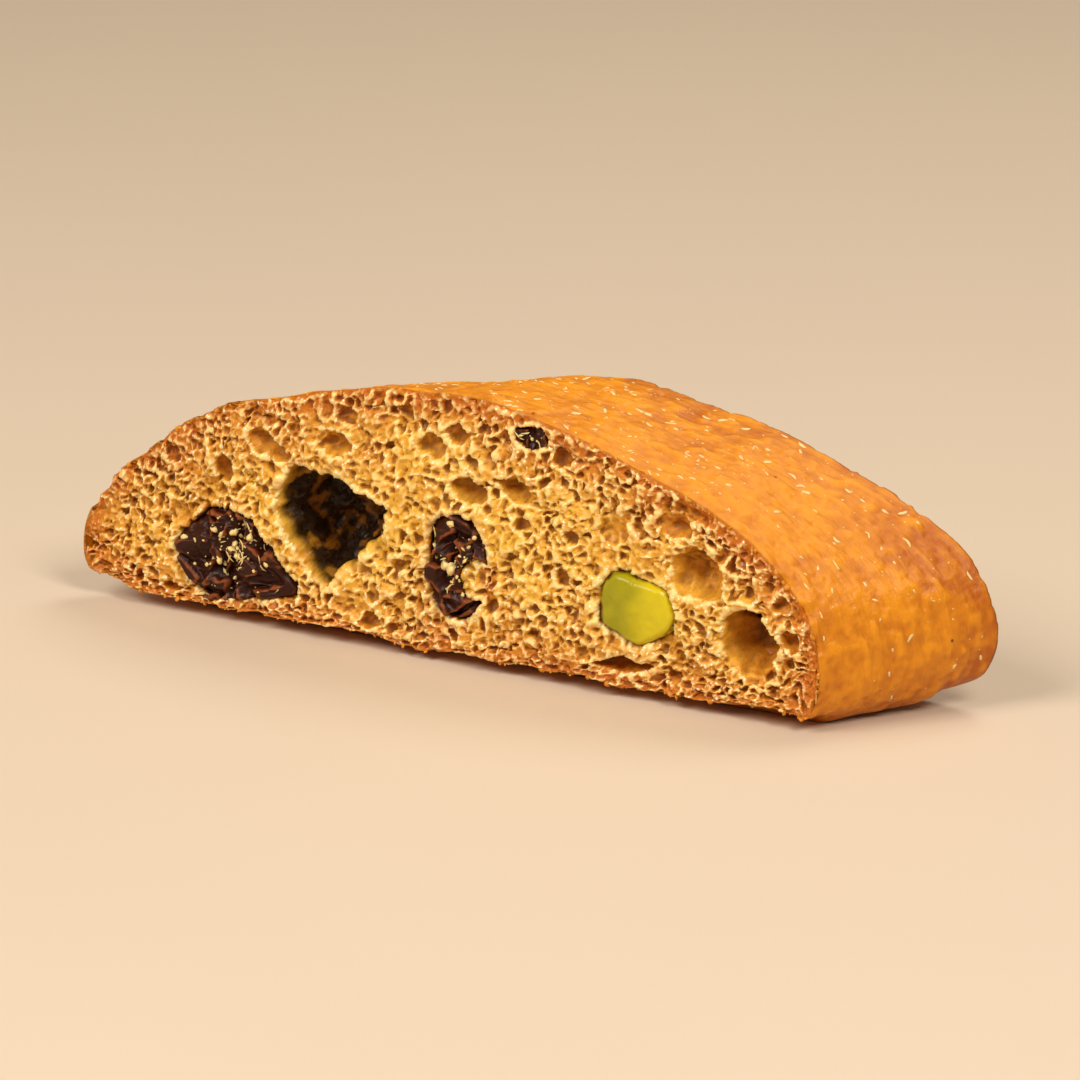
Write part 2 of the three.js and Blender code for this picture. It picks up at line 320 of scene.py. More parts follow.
class BiscottiColours(bpy.types.PropertyGroup):
    """Colours of the baked dough, the nuts and the chocolate"""

    # Partly the crumb's own pale walls and loose crumbs, partly a painted highlight on what stands out
    pale_crumb_and_crest_highlight: colour_property("Pale crumb", "Thin walls and torn edges of the crumb", "#FCDD92")
    crumb_gold: colour_property("Golden crumb", "The crumb's own colour", "#EAB43C")
    # Both the real toasting near the crust and the painted shade that deepens behind the cut
    toast_and_depth_shade: colour_property("Toasted crumb", "Crumb near the crust and inside its pores", "#C06A08")
    # Painted highlight: white glints on the crumb
    painted_glint: colour_property("Sugar glints", "Grains of baked sugar on the crumb", "#FFF6DE")
    # On the crust its own dark specks; in the crumb's small pits partly their toasted colour, partly painted
    # shade
    dark_speck_and_pit_shade: colour_property("Small pores", "The inside of the smallest pores", "#7C3804")
    # Painted shade: near black where the light doesn't reach
    painted_pocket_shade: colour_property("Deep pockets", "The far end of the largest air pocket", "#1A0900")
    crust_gold: colour_property("Golden crust", "The crust's own colour", "#E08E0E")
    # Partly the crust's real browning, partly painted shade at its back, its ends and in its creases
    browned_crust_and_shade: colour_property("Browned crust", "The crust where the oven caught it", "#B05A06")
    # Pale flakes on the crust; the smallest bits also stand for white glints, a painted highlight
    flake_and_glint_pale: colour_property("Pale bits", "Flakes and bits that stick to the crust", "#FBD694")
    # Partly the flesh's own green, partly painted shade on the kernel's side away from the light
    nut_green_shaded_side: colour_property("Green flesh", "Pistachio flesh near the skin", "#989200")
    # Partly the flesh's own yellow, partly painted light on the side that faces the light
    nut_yellow_lit_side: colour_property("Yellow flesh", "Pistachio flesh in the middle", "#D8C414")
    nut_skin: colour_property("Nut skin", "The papery skin round the kernel", "#5C2E14")
    chocolate: colour_property("Chocolate", "Dark chocolate", "#300E02")
    chocolate_worn: colour_property("Rubbed chocolate", "Chocolate where it is scraped", "#80401A")
    floor: colour_property("Floor", "The floor under the slice", "#D4C2AC")


class BiscottiStudio(bpy.types.PropertyGroup):
    """Camera and lights"""

    azimuth: bpy.props.FloatProperty(
        name="Azimuth",
        description="Camera's place round the slice",
        default=math.radians(27.0),
        subtype="ANGLE",
    )
    elevation: bpy.props.FloatProperty(
        name="Elevation",
        description="Camera's height above the horizon",
        default=math.radians(18.5),
        subtype="ANGLE",
    )
    roll: bpy.props.FloatProperty(
        name="Roll",
        description="Camera's turn about its own axis",
        default=math.radians(1.2),
        subtype="ANGLE",
    )
    distance: bpy.props.FloatProperty(
        name="Distance", description="Camera to the slice", default=0.65, unit="LENGTH"
    )
    framed: bpy.props.FloatProperty(
        name="Framed width",
        description="Width that the frame takes in at the slice",
        default=0.112,
        unit="LENGTH",
    )
    key: bpy.props.FloatProperty(
        name="Key light", description="Power of the key light", default=2.4, unit="POWER"
    )
    top: bpy.props.FloatProperty(
        name="Top light", description="Power of the top light", default=1.05, unit="POWER"
    )
    fill: bpy.props.FloatProperty(
        name="Fill light", description="Power of the fill light", default=3.15, unit="POWER"
    )
    ambient: bpy.props.FloatProperty(
        name="Ambient", description="Strength of the light all round", default=0.25
    )


def smoothstep(values, low, high):
    """0 below low, 1 above high and the smooth cubic between them."""
    share = np.clip((values - low) / (high - low), 0, 1)
    return share * share * (3 - 2 * share)


def hashed(cells, seed):
    """A number from 0 to 1 for each lattice place: its three whole numbers and the seed, mixed by odd
    multipliers and shifts in 32 bits."""
    whole = cells.astype(np.int64).astype(np.uint32)
    mixed = whole[..., 0] * np.uint32(374761393) + whole[..., 1] * np.uint32(668265263)
    mixed = mixed + whole[..., 2] * np.uint32(2246822519) + np.uint32((seed * 3266489917 + 97) % 2**32)
    mixed = (mixed ^ (mixed >> np.uint32(15))) * np.uint32(2246822519)
    mixed = (mixed ^ (mixed >> np.uint32(13))) * np.uint32(3266489917)
    return (mixed ^ (mixed >> np.uint32(16))).astype(float) / 2**32


def noise(points, size, seed):
    """Smooth noise from -1 to 1: a random value at each corner of a lattice of that size, blended across
    each cell by the cubic s*s*(3-2*s) along its three axes."""
    scaled = points / np.asarray(size, float)
    cell = np.floor(scaled)
    share = scaled - cell
    share = share * share * (3 - 2 * share)
    total = np.zeros(points.shape[:-1])
    for corner in itertools.product((0, 1), repeat=3):
        weight = np.prod(np.where(np.array(corner) == 1, share, 1 - share), axis=-1)
        total += weight * hashed(cell + corner, seed)
    return 2 * total - 1


def fractal(points, size, seed, octaves=3):
    """Sum of noises, each half the size and half the strength of the one before."""
    size = np.asarray(size, float)
    return sum(noise(points, size / 2**k, seed + k) / 2**k for k in range(octaves))


def side_at(side, depth):
    """Height of a side's nose and length of its lower corner, from front to back in proportion to depth."""
    nose = side["nose"][0] + (side["nose"][1] - side["nose"][0]) * depth
    corner = side["corner"][0] + (side["corner"][1] - side["corner"][0]) * depth
    return nose, corner


def crown_curve(depth, angle):
    """The dome, from angle pi at the left nose to 0 at the right one: x is the reach times cos to the power
    2/across, z rises from the nose by sin to the power 2/up, with each side's own powers."""
    shrink = 1 - BACK_SHRINK * depth
    across = np.cos(angle)
    points = []
    for side in (RIGHT_SIDE, LEFT_SIDE):
        nose, _ = side_at(side, depth)
        x = np.sign(across) * LENGTH / 2 * shrink * np.abs(across) ** (2 / side["across"])
        z = nose + (HEIGHT * shrink - nose) * np.abs(np.sin(angle)) ** (2 / side["up"])
        points.append(np.stack((x, z), -1))
    return np.where(across[:, None] >= 0, points[0], points[1])


def base_curve(depth, corner_angle, base_share):
    """The underside from left nose to right nose: a quarter ellipse, the flat base and a quarter ellipse."""
    reach = LENGTH / 2 * (1 - BACK_SHRINK * depth)
    left_nose, left_corner = side_at(LEFT_SIDE, depth)
    right_nose, right_corner = side_at(RIGHT_SIDE, depth)
    left_x = -reach + left_corner * (1 - np.cos(corner_angle))
    left = np.stack((left_x, left_nose * (1 - np.sin(corner_angle))), -1)
    start = -reach + left_corner
    end = reach - right_corner
    flat = np.stack((start + (end - start) * base_share, np.zeros_like(base_share)), -1)
    right_x = end + right_corner * np.sin(corner_angle)
    right = np.stack((right_x, right_nose * (1 - np.cos(corner_angle))), -1)
    return np.concatenate((left, flat, right))


def evenly(points, count):
    """A curve's points again, count of them, evenly spaced along its length."""
    steps = np.linalg.norm(np.diff(points, axis=0), axis=1)
    along = np.concatenate(([0], np.cumsum(steps)))
    wanted = np.linspace(0, along[-1], count)
    return np.stack([np.interp(wanted, along, points[:, k]) for k in (0, 1)], -1)


def section(depth, count):
    """Crown and base of the loaf's section at a depth from 0 at the front to 1 at the back, each from nose
    to nose with count evenly spaced points."""
    dense = 0.5 - 0.5 * np.cos(np.linspace(0, np.pi, 3000))
    crown = crown_curve(depth, np.pi * (1 - dense))
    corner = np.linspace(0, np.pi / 2, 300)
    base = base_curve(depth, corner, np.linspace(0, 1, 900)[1:-1])
    return evenly(crown, count), evenly(base, count)


def coarse_outline(depth):
    """The outline as the solid has it: 60 steps over the dome, 6 round each corner and 14 along the base."""
    crown = crown_curve(depth, np.pi * np.arange(DOME_STEPS) / DOME_STEPS)
    corner = np.pi / 2 * np.arange(CORNER_STEPS) / CORNER_STEPS
    under = base_curve(depth, corner, np.arange(BASE_STEPS) / BASE_STEPS)
    return np.concatenate((crown, under))


def rim_distance(points, outline):
    """Distance of each point (x, z) from the closed outline: the least over its straight pieces."""
    nearest = np.full(points.shape[:-1], np.inf)
    for start, end in zip(outline, np.roll(outline, -1, axis=0)):
        along = end - start
        share = np.clip(((points - start) @ along) / (along @ along), 0, 1)
        gap = points - start - share[..., None] * along
        nearest = np.minimum(nearest, np.hypot(gap[..., 0], gap[..., 1]))
    return nearest


def inside(point, outline):
    """Whether a point lies inside the closed outline, by the number of edges to its right."""
    start, end = outline, np.roll(outline, -1, axis=0)
    spans = (start[:, 1] > point[1]) != (end[:, 1] > point[1])
    rise = np.where(spans, end[:, 1] - start[:, 1], 1)
    crossing = start[:, 0] + (point[1] - start[:, 1]) * (end[:, 0] - start[:, 0]) / rise
    return np.count_nonzero(spans & (point[0] < crossing)) % 2 == 1


def crust_swell(x, y, z):
    """How far the crust stands out: three sine waves through the loaf, fading out towards the base."""
    swell = sum(
        size * np.sin(2 * np.pi * (x / along + y / through + z / up) + phase)
        for size, along, through, up, phase in CRUST_WAVES
    )
    return swell * smoothstep(z, 0, BASE_FADE)


def outward_of(loop):
    """Unit normals in the plane of a closed loop that runs from the left nose over the crown."""
    along = np.roll(loop, -1, axis=0) - np.roll(loop, 1, axis=0)
    outward = np.stack((-along[:, 1], along[:, 0]), -1)
    return outward / np.linalg.norm(outward, axis=1, keepdims=True)


def loop_at(depth, count):
    """The section's closed loop: left nose, crown, right nose, and back along the base."""
    crown, base = section(depth, count)
    return np.concatenate((crown, base[-2:0:-1]))


def ring_at(depth, count):
    """The loop at a depth as points (x, y, z), with the crust's swell along its normals and the shift of
    the diagonal cut, and the normals as (x, z)."""
    loop = loop_at(depth, count)
    y = FRONT + THICKNESS * depth
    outward = outward_of(loop)
    swell = crust_swell(loop[:, 0], y, loop[:, 1])
    x = loop[:, 0] + CUT_SHIFT * (depth - 0.5) + outward[:, 0] * swell
    z = loop[:, 1] + outward[:, 1] * swell
    return np.stack((x, np.full(len(loop), y), z), -1), outward


def centring():
    """How far the solids were moved along X to centre them, from the front ring's and the back ring's box."""
    low = ring_at(0, 400)[0][:, 0].min()
    high = ring_at(1, 400)[0][:, 0].max()
    lowest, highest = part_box("biscuit")
    return (lowest.x + highest.x) / 2 / MM - (low + high) / 2


CENTRE_X = centring()


def numbers_from(seed):
    """The solids' own seeded stream of numbers from 0 to 1: an additive state mixed in 32 bits."""
    whole = 2**32
    state = seed
    while True:
        state = (state + 0x6D2B79F5) % whole
        mixed = ((state ^ (state >> 15)) * (1 | state)) % whole
        mixed = ((mixed + ((mixed ^ (mixed >> 7)) * (61 | mixed)) % whole) % whole) ^ mixed
        yield (mixed ^ (mixed >> 14)) / whole


def scattered_bubbles():
    """The scattered bubbles that the solids have, by the same rule and the same stream of numbers."""
    numbers = numbers_from(SCATTER["seed"])
    made = []
    for side, count in SCATTER_COUNTS:
        outline = coarse_outline(0 if side < 0 else 1)
        things = [*INCLUSIONS.values(), *AIR_POCKETS]
        taken = [(t[1][0], t[1][1], t[2][0], t[2][2]) for t in things if t[0] == side]
        found = 0
        for _ in range(SCATTER["tries"]):
            if found == count:
                break
            reach = SCATTER["largest"] - SCATTER["smallest"]
            size = SCATTER["smallest"] + reach * next(numbers) ** SCATTER["bias"]
            at = ((next(numbers) - 0.5) * LENGTH, next(numbers) * HEIGHT)
            flat = SCATTER["flattest"] + (1 - SCATTER["flattest"]) * next(numbers)
            turn = 180 * next(numbers)
            other = np.array(taken)
            clearance = size + SCATTER["between"]
            apart = np.hypot(
                (at[0] - other[:, 0]) / (other[:, 2] + clearance),
                (at[1] - other[:, 1]) / (other[:, 3] + clearance),
            )
            if apart.min() <= 1 or not inside(at, outline):
                continue
            if rim_distance(np.array(at), outline) < size + SCATTER["rim"]:
                continue
            taken.append((*at, size, size))
            made.append((side, at, (size, size * 1.1, size * flat), size * 0.25, turn, 0.08))
            found += 1
    return made


def turned(across, up, at, turn):
    """Places on a face seen from a thing's own middle, and turned back by its turn."""
    angle = math.radians(turn)
    right = across - at[0]
    above = up - at[1]
    along = right * math.cos(angle) + above * math.sin(angle)
    return along, above * math.cos(angle) - right * math.sin(angle)


def swell_of(direction, at, lumps):
    """The lumpy ball: 1 plus half of lumps times three sine waves along the direction's parts."""
    waves = np.sin(4.1 * direction[0] + at[0]) + np.sin(4.7 * direction[1] + at[1])
    return 1 + lumps / 2 * (waves + np.sin(5.3 * direction[2] + 2))


def pierce(depth, across, up, thing):
    """Deepens a hole where it ends inside a lumpy ball: where the ball spans the present depth, the depth
    becomes that of the ball's far side, its middle's plus its half depth times root(1 - r squared)."""
    side, at, half, inset, turn, lumps = thing
    right, above = turned(across, up, at, turn)
    right = right / half[0]
    above = above / half[2]
    squared = right**2 + above**2
    root = np.sqrt(np.clip(1 - squared, 0, 1))
    swell = swell_of((right, -np.sign(side) * root, above), at, lumps)
    root = np.sqrt(np.clip(1 - squared / swell**2, 0, 1))
    reach = half[1] * swell * root
    holds = (root > 0) & (inset - reach <= depth) & (inset + reach > depth)
    return np.where(holds, inset + reach, depth)


def outline_reach(name, angle, grow=0.0):
    """How far an outline lies from its middle at each angle. Each side of the polygon gives cos(angle from
    the way it faces) over its distance; the reach is one over the p-th root of the sum of their p-th
    powers."""
    sides, sharpness = OUTLINES[name]
    total = 0
    for facing, distance in sides:
        share = np.clip(np.cos(angle - math.radians(facing)), 0, None) / (distance + grow)
        total = total + share**sharpness
    return total ** (-1 / sharpness)


def bed(depth, across, up, name, thing, grow=0.0):
    """Deepens the crumb to the bed of a nut or a chunk: inside its outline, down to half an ellipsoid, apart
    from where a tongue of crumb covers it. A low lip stands round it."""
    at, half, inset = thing[1:4]
    right, above = across - at[0], up - at[1]
    reach = outline_reach(name, np.arctan2(above, right), grow)
    share = np.hypot(right, above) / reach
    far = inset + half[1] * np.sqrt(np.clip(1 - share**2, 0, 1))
    lip = (0.3 if "chocolate" in name else 1.0) * LIP * np.exp(-(((share - 1) * reach / 0.4) ** 2))
    inner = share < 1
    if name in TONGUES:
        place, wide = TONGUES[name]
        inner &= np.hypot(right - place[0], above - place[1]) > wide
    return np.where(inner, np.maximum(depth, far), depth - lip * (depth < 0.6))


def large_pocket(across, up, thing):
    """Depth of the large air pocket: inside its outline half an ellipsoid, whose wall rises gently on the
    left and steeply on the right."""
    at, half, inset = thing[1:4]
    right, above = across - at[0], up - at[1]
    angle = np.arctan2(above, right)
    share = np.hypot(right, above) / outline_reach("air_pocket", angle)
    far = inset + half[1] * np.sqrt(np.clip(1 - share**2, 0, 1))
    return far * smoothstep(1 - share, 0, 0.1 + 0.22 * np.clip(-np.cos(angle), 0, 1)) ** 0.8


def cell_walls(points, spacing, seed):
    """Distance from the wall between cells and a random number for each cell. The cells belong to random
    places, one in each cube of a lattice: the distance is half of that to the second nearest place less
    that to the nearest one."""
    scaled = points / spacing
    cube = np.floor(scaled)
    first = np.full(points.shape[:-1], np.inf)
    second = first.copy()
    own = np.zeros_like(first)
    for offset in itertools.product((-1, 0, 1), repeat=3):
        near = cube + offset
        jitter = np.stack([hashed(near, seed + k) for k in range(3)], -1)
        gap = np.linalg.norm(near + jitter - scaled, axis=-1)
        closer = gap < first
        second = np.where(closer, first, np.minimum(second, gap))
        own = np.where(closer, hashed(near, seed + 3), own)
        first = np.minimum(first, gap)
    return (second - first) / 2 * spacing, own


def foam(points, level, seed):
    """How deep the foam opens at each point: nothing on a wall, then down by a quarter of a sine wave to the
    depth of its cell, which is random; a share of the cells is shut."""
    spacing, wall, deepest, shut = level
    gap, own = cell_walls(points, spacing, seed)
    share = np.clip((gap - wall) / (0.3 * spacing), 0, 1)
    opened = np.clip((own - shut) / (1 - shut), 0, 1)
    return deepest * (own > shut) * (0.2 + 0.8 * opened) * np.sin(np.pi / 2 * share)


def relaxed(surface, passes):
    """A grid of points evened out along its own surface: each inner point moves towards the mean of its
    four neighbours, less the part of that move along the surface's normal."""
    surface = surface.copy()
    for _ in range(passes):
        inner = surface[1:-1, 1:-1]
        sides = surface[2:, 1:-1] - surface[:-2, 1:-1]
        rise = surface[1:-1, 2:] - surface[1:-1, :-2]
        normal = np.cross(sides, rise)
        normal /= np.linalg.norm(normal, axis=-1, keepdims=True) + 1e-12
        mean = surface[2:, 1:-1] + surface[:-2, 1:-1] + surface[1:-1, 2:] + surface[1:-1, :-2]
        move = mean / 4 - inner
        move -= (move * normal).sum(-1, keepdims=True) * normal
        surface[1:-1, 1:-1] = inner + 0.6 * move
    return surface


def grid_normals(surface):
    """Unit normals of a grid of points, from the differences between each point's neighbours."""
    normal = np.cross(np.gradient(surface, axis=0), np.gradient(surface, axis=1))
    return normal / (np.linalg.norm(normal, axis=-1, keepdims=True) + 1e-12)


def blurred(field, cells):
    """Mean of a field over a square of 2*cells+1 places each way, by running sums, edges repeated."""
    for axis in (0, 1):
        padded = np.pad(field, [(cells + 1, cells) if k == axis else (0, 0) for k in (0, 1)], mode="edge")
        sums = np.cumsum(padded, axis=axis)
        count = field.shape[axis]
        high = np.take(sums, range(2 * cells + 1, 2 * cells + 1 + count), axis=axis)
        low = np.take(sums, range(count), axis=axis)
        field = (high - low) / (2 * cells + 1)
    return field


def grid_faces(values):
    """Two triangles for each four neighbours of a grid of values, which are vertex numbers or coordinates
    of a map."""
    a, b = values[:-1, :-1], values[1:, :-1]
    c, d = values[1:, 1:], values[:-1, 1:]
    first = np.stack((a, b, c), 2)
    second = np.stack((a, c, d), 2)
    shape = (-1, 3, *values.shape[2:])
    return np.concatenate((first.reshape(shape), second.reshape(shape)))


def make_piece(name, points, faces, finish, node, fields=None, chart=None):
    """Puts points in millimetres and triangles into a mesh in metres, and lets it ride on the slice. Faces
    are turned round together if their signed volume says that they point inwards."""
    kept = (faces[:, 0] != faces[:, 1]) & (faces[:, 1] != faces[:, 2]) & (faces[:, 2] != faces[:, 0])
    faces = faces[kept]
    if chart is not None:
        chart = chart[kept]
    corners = points[faces]
    if np.einsum("ij,ij->i", corners[:, 0], np.cross(corners[:, 1], corners[:, 2])).sum() < 0:
        faces = faces[:, ::-1]
        chart = None if chart is None else chart[:, ::-1]
    mesh = bpy.data.meshes.new(name)
    mesh.vertices.add(len(points))
    mesh.vertices.foreach_set("co", (points * MM).astype(np.float32).ravel())
    mesh.loops.add(faces.size)
    mesh.loops.foreach_set("vertex_index", faces.astype(np.int32).ravel())
    mesh.polygons.add(len(faces))
    mesh.polygons.foreach_set("loop_start", np.arange(0, faces.size, 3, dtype=np.int32))
    mesh.update(calc_edges=True)
    for field, values in (fields or {}).items():
        attribute = mesh.attributes.new(field, "FLOAT", "POINT")
        attribute.data.foreach_set("value", values.astype(np.float32).ravel())
    if chart is not None:
        mesh.uv_layers.new(name="Around").data.foreach_set("uv", chart.astype(np.float32).ravel())
    if mesh.validate():
        raise RuntimeError(f"{name} has broken faces")
    mesh.shade_smooth()
    mesh.materials.append(finish)
    piece = bpy.data.objects.new(name, mesh)
    bpy.context.scene.collection.objects.link(piece)
    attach(piece, "root")
    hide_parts(node)
    return piece


def chip_offsets(side, ring, outward, chip):
    """Where the crust's edge is chipped: inwards and away from the cut by a noise that is mostly low. The
    back edge is chipped half as deeply."""
    rough = fractal(ring, 1.8, 41 if side < 0 else 47, 4)
    depth = chip * (1 if side < 0 else 0.5) * np.clip(0.2 + 0.7 * rough, 0.03, 1)
    inward = -outward * (0.6 * depth)[:, None]
    return np.stack((inward[:, 0], -np.sign(side) * depth, inward[:, 1]), -1)


def base_lift(ring, outward):
    """How far the edges of the base lie above the floor: an uneven height where the ring faces down."""
    return BASE_LIFT * (0.8 + 0.4 * noise(ring, 5.0, 49)) * smoothstep(-outward[..., 1], 0.5, 1.0)


def along_base(ring, count):
    """A ring's values along its base, from the left nose to the right one, with both noses."""
    return np.concatenate((ring[:1], ring[count:][::-1], ring[count - 1 : count]))


def beyond_outline(name, across, up, at):
    """How far each place lies beyond an outline round at: its distance less the outline's reach that way."""
    right, above = across - at[0], up - at[1]
    return np.hypot(right, above) - outline_reach(name, np.arctan2(above, right))


def crumb_depth(side, across, up, edge):
    """How deep the crumb lies behind each place of a cut face, how near the large air pocket is, and how far
    melted chocolate stains it.

    Each place goes straight back until it meets dough: through the air pockets, the pockets of nuts and
    chunks, and then from bubble to bubble of the fine foam. It stays under a share of its distance from the
    rim."""
    place = np.stack((across, np.full_like(across, side), up), -1)
    curl = [sum(size * noise(place, wide, seed + k) for size, wide, seed in CURLS) for k in (0, 1)]
    warped = (across + curl[0], up + curl[1])
    depth = np.zeros_like(across)
    cavern = np.zeros_like(across)
    if side == FRONT:
        depth = large_pocket(warped[0] + 0.6 * curl[0], warped[1] + 0.6 * curl[1], AIR_POCKETS[0])
        # cavern also marks where the crumb's colour takes painted shade
        cavern = 1 - smoothstep(beyond_outline("air_pocket", *warped, AIR_POCKETS[0][1]), 0.8, 2.6)
    holes = [p for p in (*AIR_POCKETS[1:], *DEEP_POCKETS) if p[0] == side]
    holes += [bubble for bubble in scattered_bubbles() if bubble[0] == side]
    for _ in range(2):
        for thing in holes:
            depth = pierce(depth, *warped, thing)
    depth = depth + (0.4 + 0.9 * cavern) * smoothstep(depth, 2.0, 5.0) * fractal(place, 2.6, 37)
    tightness = 0.6 + 0.4 * smoothstep(edge, 0.2, 2.0) + 0.5 * noise(place, 5.0, 25)
    tightness = tightness * (1 - 0.75 * smoothstep(depth, 0.5, 1.4))
    for level, fineness in enumerate(FOAM):
        within = np.stack((warped[0], depth, warped[1]), -1)
        fine = 1 - 0.5 * smoothstep(depth, 0.4, 1.2)
        depth = depth + fine * tightness * foam(within, fineness, 300 + 20 * level + int(side))
    stain = np.zeros_like(across)
    for name, thing in INCLUSIONS.items():
        if thing[0] != side:
            continue
        loose = 0.2
        if "chocolate" in name:
            loose = 0.5
            beyond = beyond_outline(name, *warped, thing[1])
            stain = np.maximum(stain, 0.8 * np.exp(-np.abs(beyond) / 0.7))
        depth = bed(depth, across + loose * curl[0], up + loose * curl[1], name, thing, 0.04)
    shallow = RIM_DEPTH_SHARE * np.clip(edge - 0.08, 0, None)
    return np.minimum(depth, np.minimum(DEEPEST[side], shallow)), cavern, stain


def crumb_fields(surface, side, edge, cavern, stain):
    """What the crumb's material reads: how far each place stands out of its neighbourhood's mean, which it
    paints as highlights and shade, how deep it lies, how much painted shade lies on it in the large air
    pocket, far back and under overhanging walls, and how near the browned rim or melted chocolate are."""
    inwards = -np.sign(side)
    smooth = np.stack([blurred(surface[..., k], 3) for k in range(3)], -1)
    normal = grid_normals(surface)
    normal *= -inwards * np.sign(normal[..., 1:2].mean())
    sunk = (surface[..., 1] - side) * inwards
    # bulge is read as painted light: what stands out is painted paler as a highlight, what lies in a pit
    # darker as shade
    bulge = np.clip(((surface - smooth) * normal).sum(-1) / 0.2, -1, 1)
    brink = smoothstep(blurred(np.clip(sunk, 0, 3), 4), 0.6, 1.4)
    # Painted shade under walls that overhang a pocket, where light from above doesn't reach
    painted_roof_shade = smoothstep(-normal[..., 2], 0.15, 0.75) * smoothstep(sunk, 0.9, 2.2)
    # Painted shade deep inside the large air pocket and wherever the crumb lies far back
    cavern = np.maximum(cavern * smoothstep(sunk, 0.5, 2.4), smoothstep(sunk, 4.2, 6.5))
    return {
        # Round the brinks of deep hollows the painted highlight is toned down and a little painted shade added
        "bulge": bulge * (1 - np.where(bulge > 0, 0.9, 0.5) * brink) - 0.2 * brink,
        "sunk": np.clip(sunk / 8.0, 0, 1),
        "cavern": np.maximum(cavern, 0.7 * painted_roof_shade),
        "rim": np.maximum(np.exp(-edge / 4.6), stain),
    }


def block_behind(surface, side):
    """Closes the front of a cut face to a block: two narrowed rings behind its rim, and a lid between the
    crown and the base of the last one. Its first and last columns are single points, the noses."""
    count, rows = surface.shape[:2]
    number = np.arange(count * rows).reshape(count, rows)
    number[0] = number[0, 0]
    number[-1] = number[-1, 0]
    loops = [np.concatenate((number[:, -1], number[-2:0:-1, 0]))]
    points = [surface.reshape(-1, 3)]
    total = count * rows
    for behind in (CRUST_INSET, DEEPEST[side] + 0.4):
        share = (behind if side < 0 else THICKNESS - behind) / THICKNESS
        loop, _ = ring_at(share, count)
        points.append(narrowed(loop, share))
        loops.append(np.arange(total, total + len(loop)))
        total += len(loop)
    walls = np.stack([np.append(loop, loop[0]) for loop in loops], 1)
    lid = np.stack((loops[-1][:count], along_base(loops[-1], count)), 1)
    faces = [grid_faces(numbers) for numbers in (number, walls, lid)]
    return np.concatenate(points), np.concatenate(faces)


def face_piece(name, side, sizes, finish):
    """The crumb behind one cut face, a closed block whose front is the torn foam.

    The front is a grid from base to crown and from nose to nose, moved back by the crumb's depth, drawn in
    where the crust's edge is chipped, lifted along the base, and torn by noise and by threads, whose height
    is the fifth power of one less a noise's size. The block narrows behind the rim, under the crust."""
    count, rows = sizes.face_columns, sizes.face_rows
    inwards = -np.sign(side)
    ring, outward = ring_at(0 if side < 0 else 1, count)
    share = np.linspace(0, 1, rows + 1)[None, :, None]
    surface = along_base(ring, count)[:, None] * (1 - share) + ring[:count, None] * share
    shift = CUT_SHIFT * side / THICKNESS
    across = surface[..., 0] - shift
    up = surface[..., 2]
    outline = ring[:, [0, 2]] - (shift, 0)
    edge = rim_distance(np.stack((across, up), -1), outline[::4])
    depth, cavern, stain = crumb_depth(side, across, up, edge)

    place = np.stack((across, np.full_like(across, side), up), -1)
    calm = smoothstep(edge, 0.0, 0.5)
    threads = sum(
        height * (1 - np.abs(noise(place + bend, wide, seed))) ** 5 for height, wide, seed, bend in THREADS
    )
    tear = sizes.tear * (fractal(place, 1.1, 61) + 2.0 * fractal(place, 4.6, 71, 2))
    chips = chip_offsets(side, ring, outward, sizes.chip)
    fade = np.clip(1 - edge / 1.1, 0, 1)[..., None] ** 2
    surface = surface + fade * np.where(share > 0.5, chips[:count, None], along_base(chips, count)[:, None])
    lift = along_base(base_lift(ring, outward), count)[:, None]
    surface[..., 2] += lift * np.clip(1 - edge / 4.6, 0, 1) ** 2 * (share[..., 0] < 0.5)
    surface[..., 1] += inwards * (depth + (tear - threads) * calm)
    surface = relaxed(surface, RELAX_PASSES)
    grit = 0.06 * fractal(surface, 0.42, 51, 2) * calm
    surface += inwards * grit[..., None] * grid_normals(surface)

    fields = crumb_fields(surface, side, edge, cavern, stain)
    points, faces = block_behind(surface, side)
    padding = np.zeros(len(points) - edge.size)
    used, faces = np.unique(faces, return_inverse=True)
    fields = {key: np.concatenate((values.ravel(), padding))[used] for key, values in fields.items()}
    points = points[used] + (CENTRE_X, 0, 0)
    return make_piece(name, points, faces.reshape(-1, 3), finish, "biscuit", fields)


def narrowed(loop, depth):
    """A ring drawn in towards the middle of the slice, for what lies under the crust."""
    middle = np.array((CUT_SHIFT * (depth - 0.5), loop[0, 1], UNDER_CRUST_HEIGHT))
    return middle + (loop - middle) * UNDER_CRUST


def crust_relief(rings, along, through):
    """Relief of the crust's outside along its normals, and the fine part of it alone: low bumps, streaks
    that follow the section, and pits, flat at both edges; on the base only pits."""
    inner = smoothstep(through, 0, 0.9) * smoothstep(THICKNESS - through, 0, 0.9)
    above = smoothstep(rings[..., 2], 0.0, 1.2)
    shape = rings.shape[:2]
    streak_at = (np.broadcast_to(along, shape), np.broadcast_to(through, shape), np.zeros(shape))
    streak_at = np.stack(streak_at, -1)
    relief = 0.13 * fractal(rings, 3.4, 81) + 0.07 * fractal(streak_at, (4.0, 1.0, 1.0), 91)
    fine = 0.07 * fractal(rings, 1.3, 95, 2) + 0.05 * noise(rings, 0.5, 97)
    fine += 0.19 * np.clip(noise(streak_at, (1.6, 0.62, 1.0), 93), 0, 1) ** 1.5 - 0.03
    pits = smoothstep(noise(rings, 1.0, 99), 0.55, 0.95)
    relief = relief + fine - 0.16 * pits
    base_pits = 0.22 * np.clip(noise(rings, 0.8, 101), 0, 1)
    return relief * inner * above - base_pits * inner * (1 - above), fine


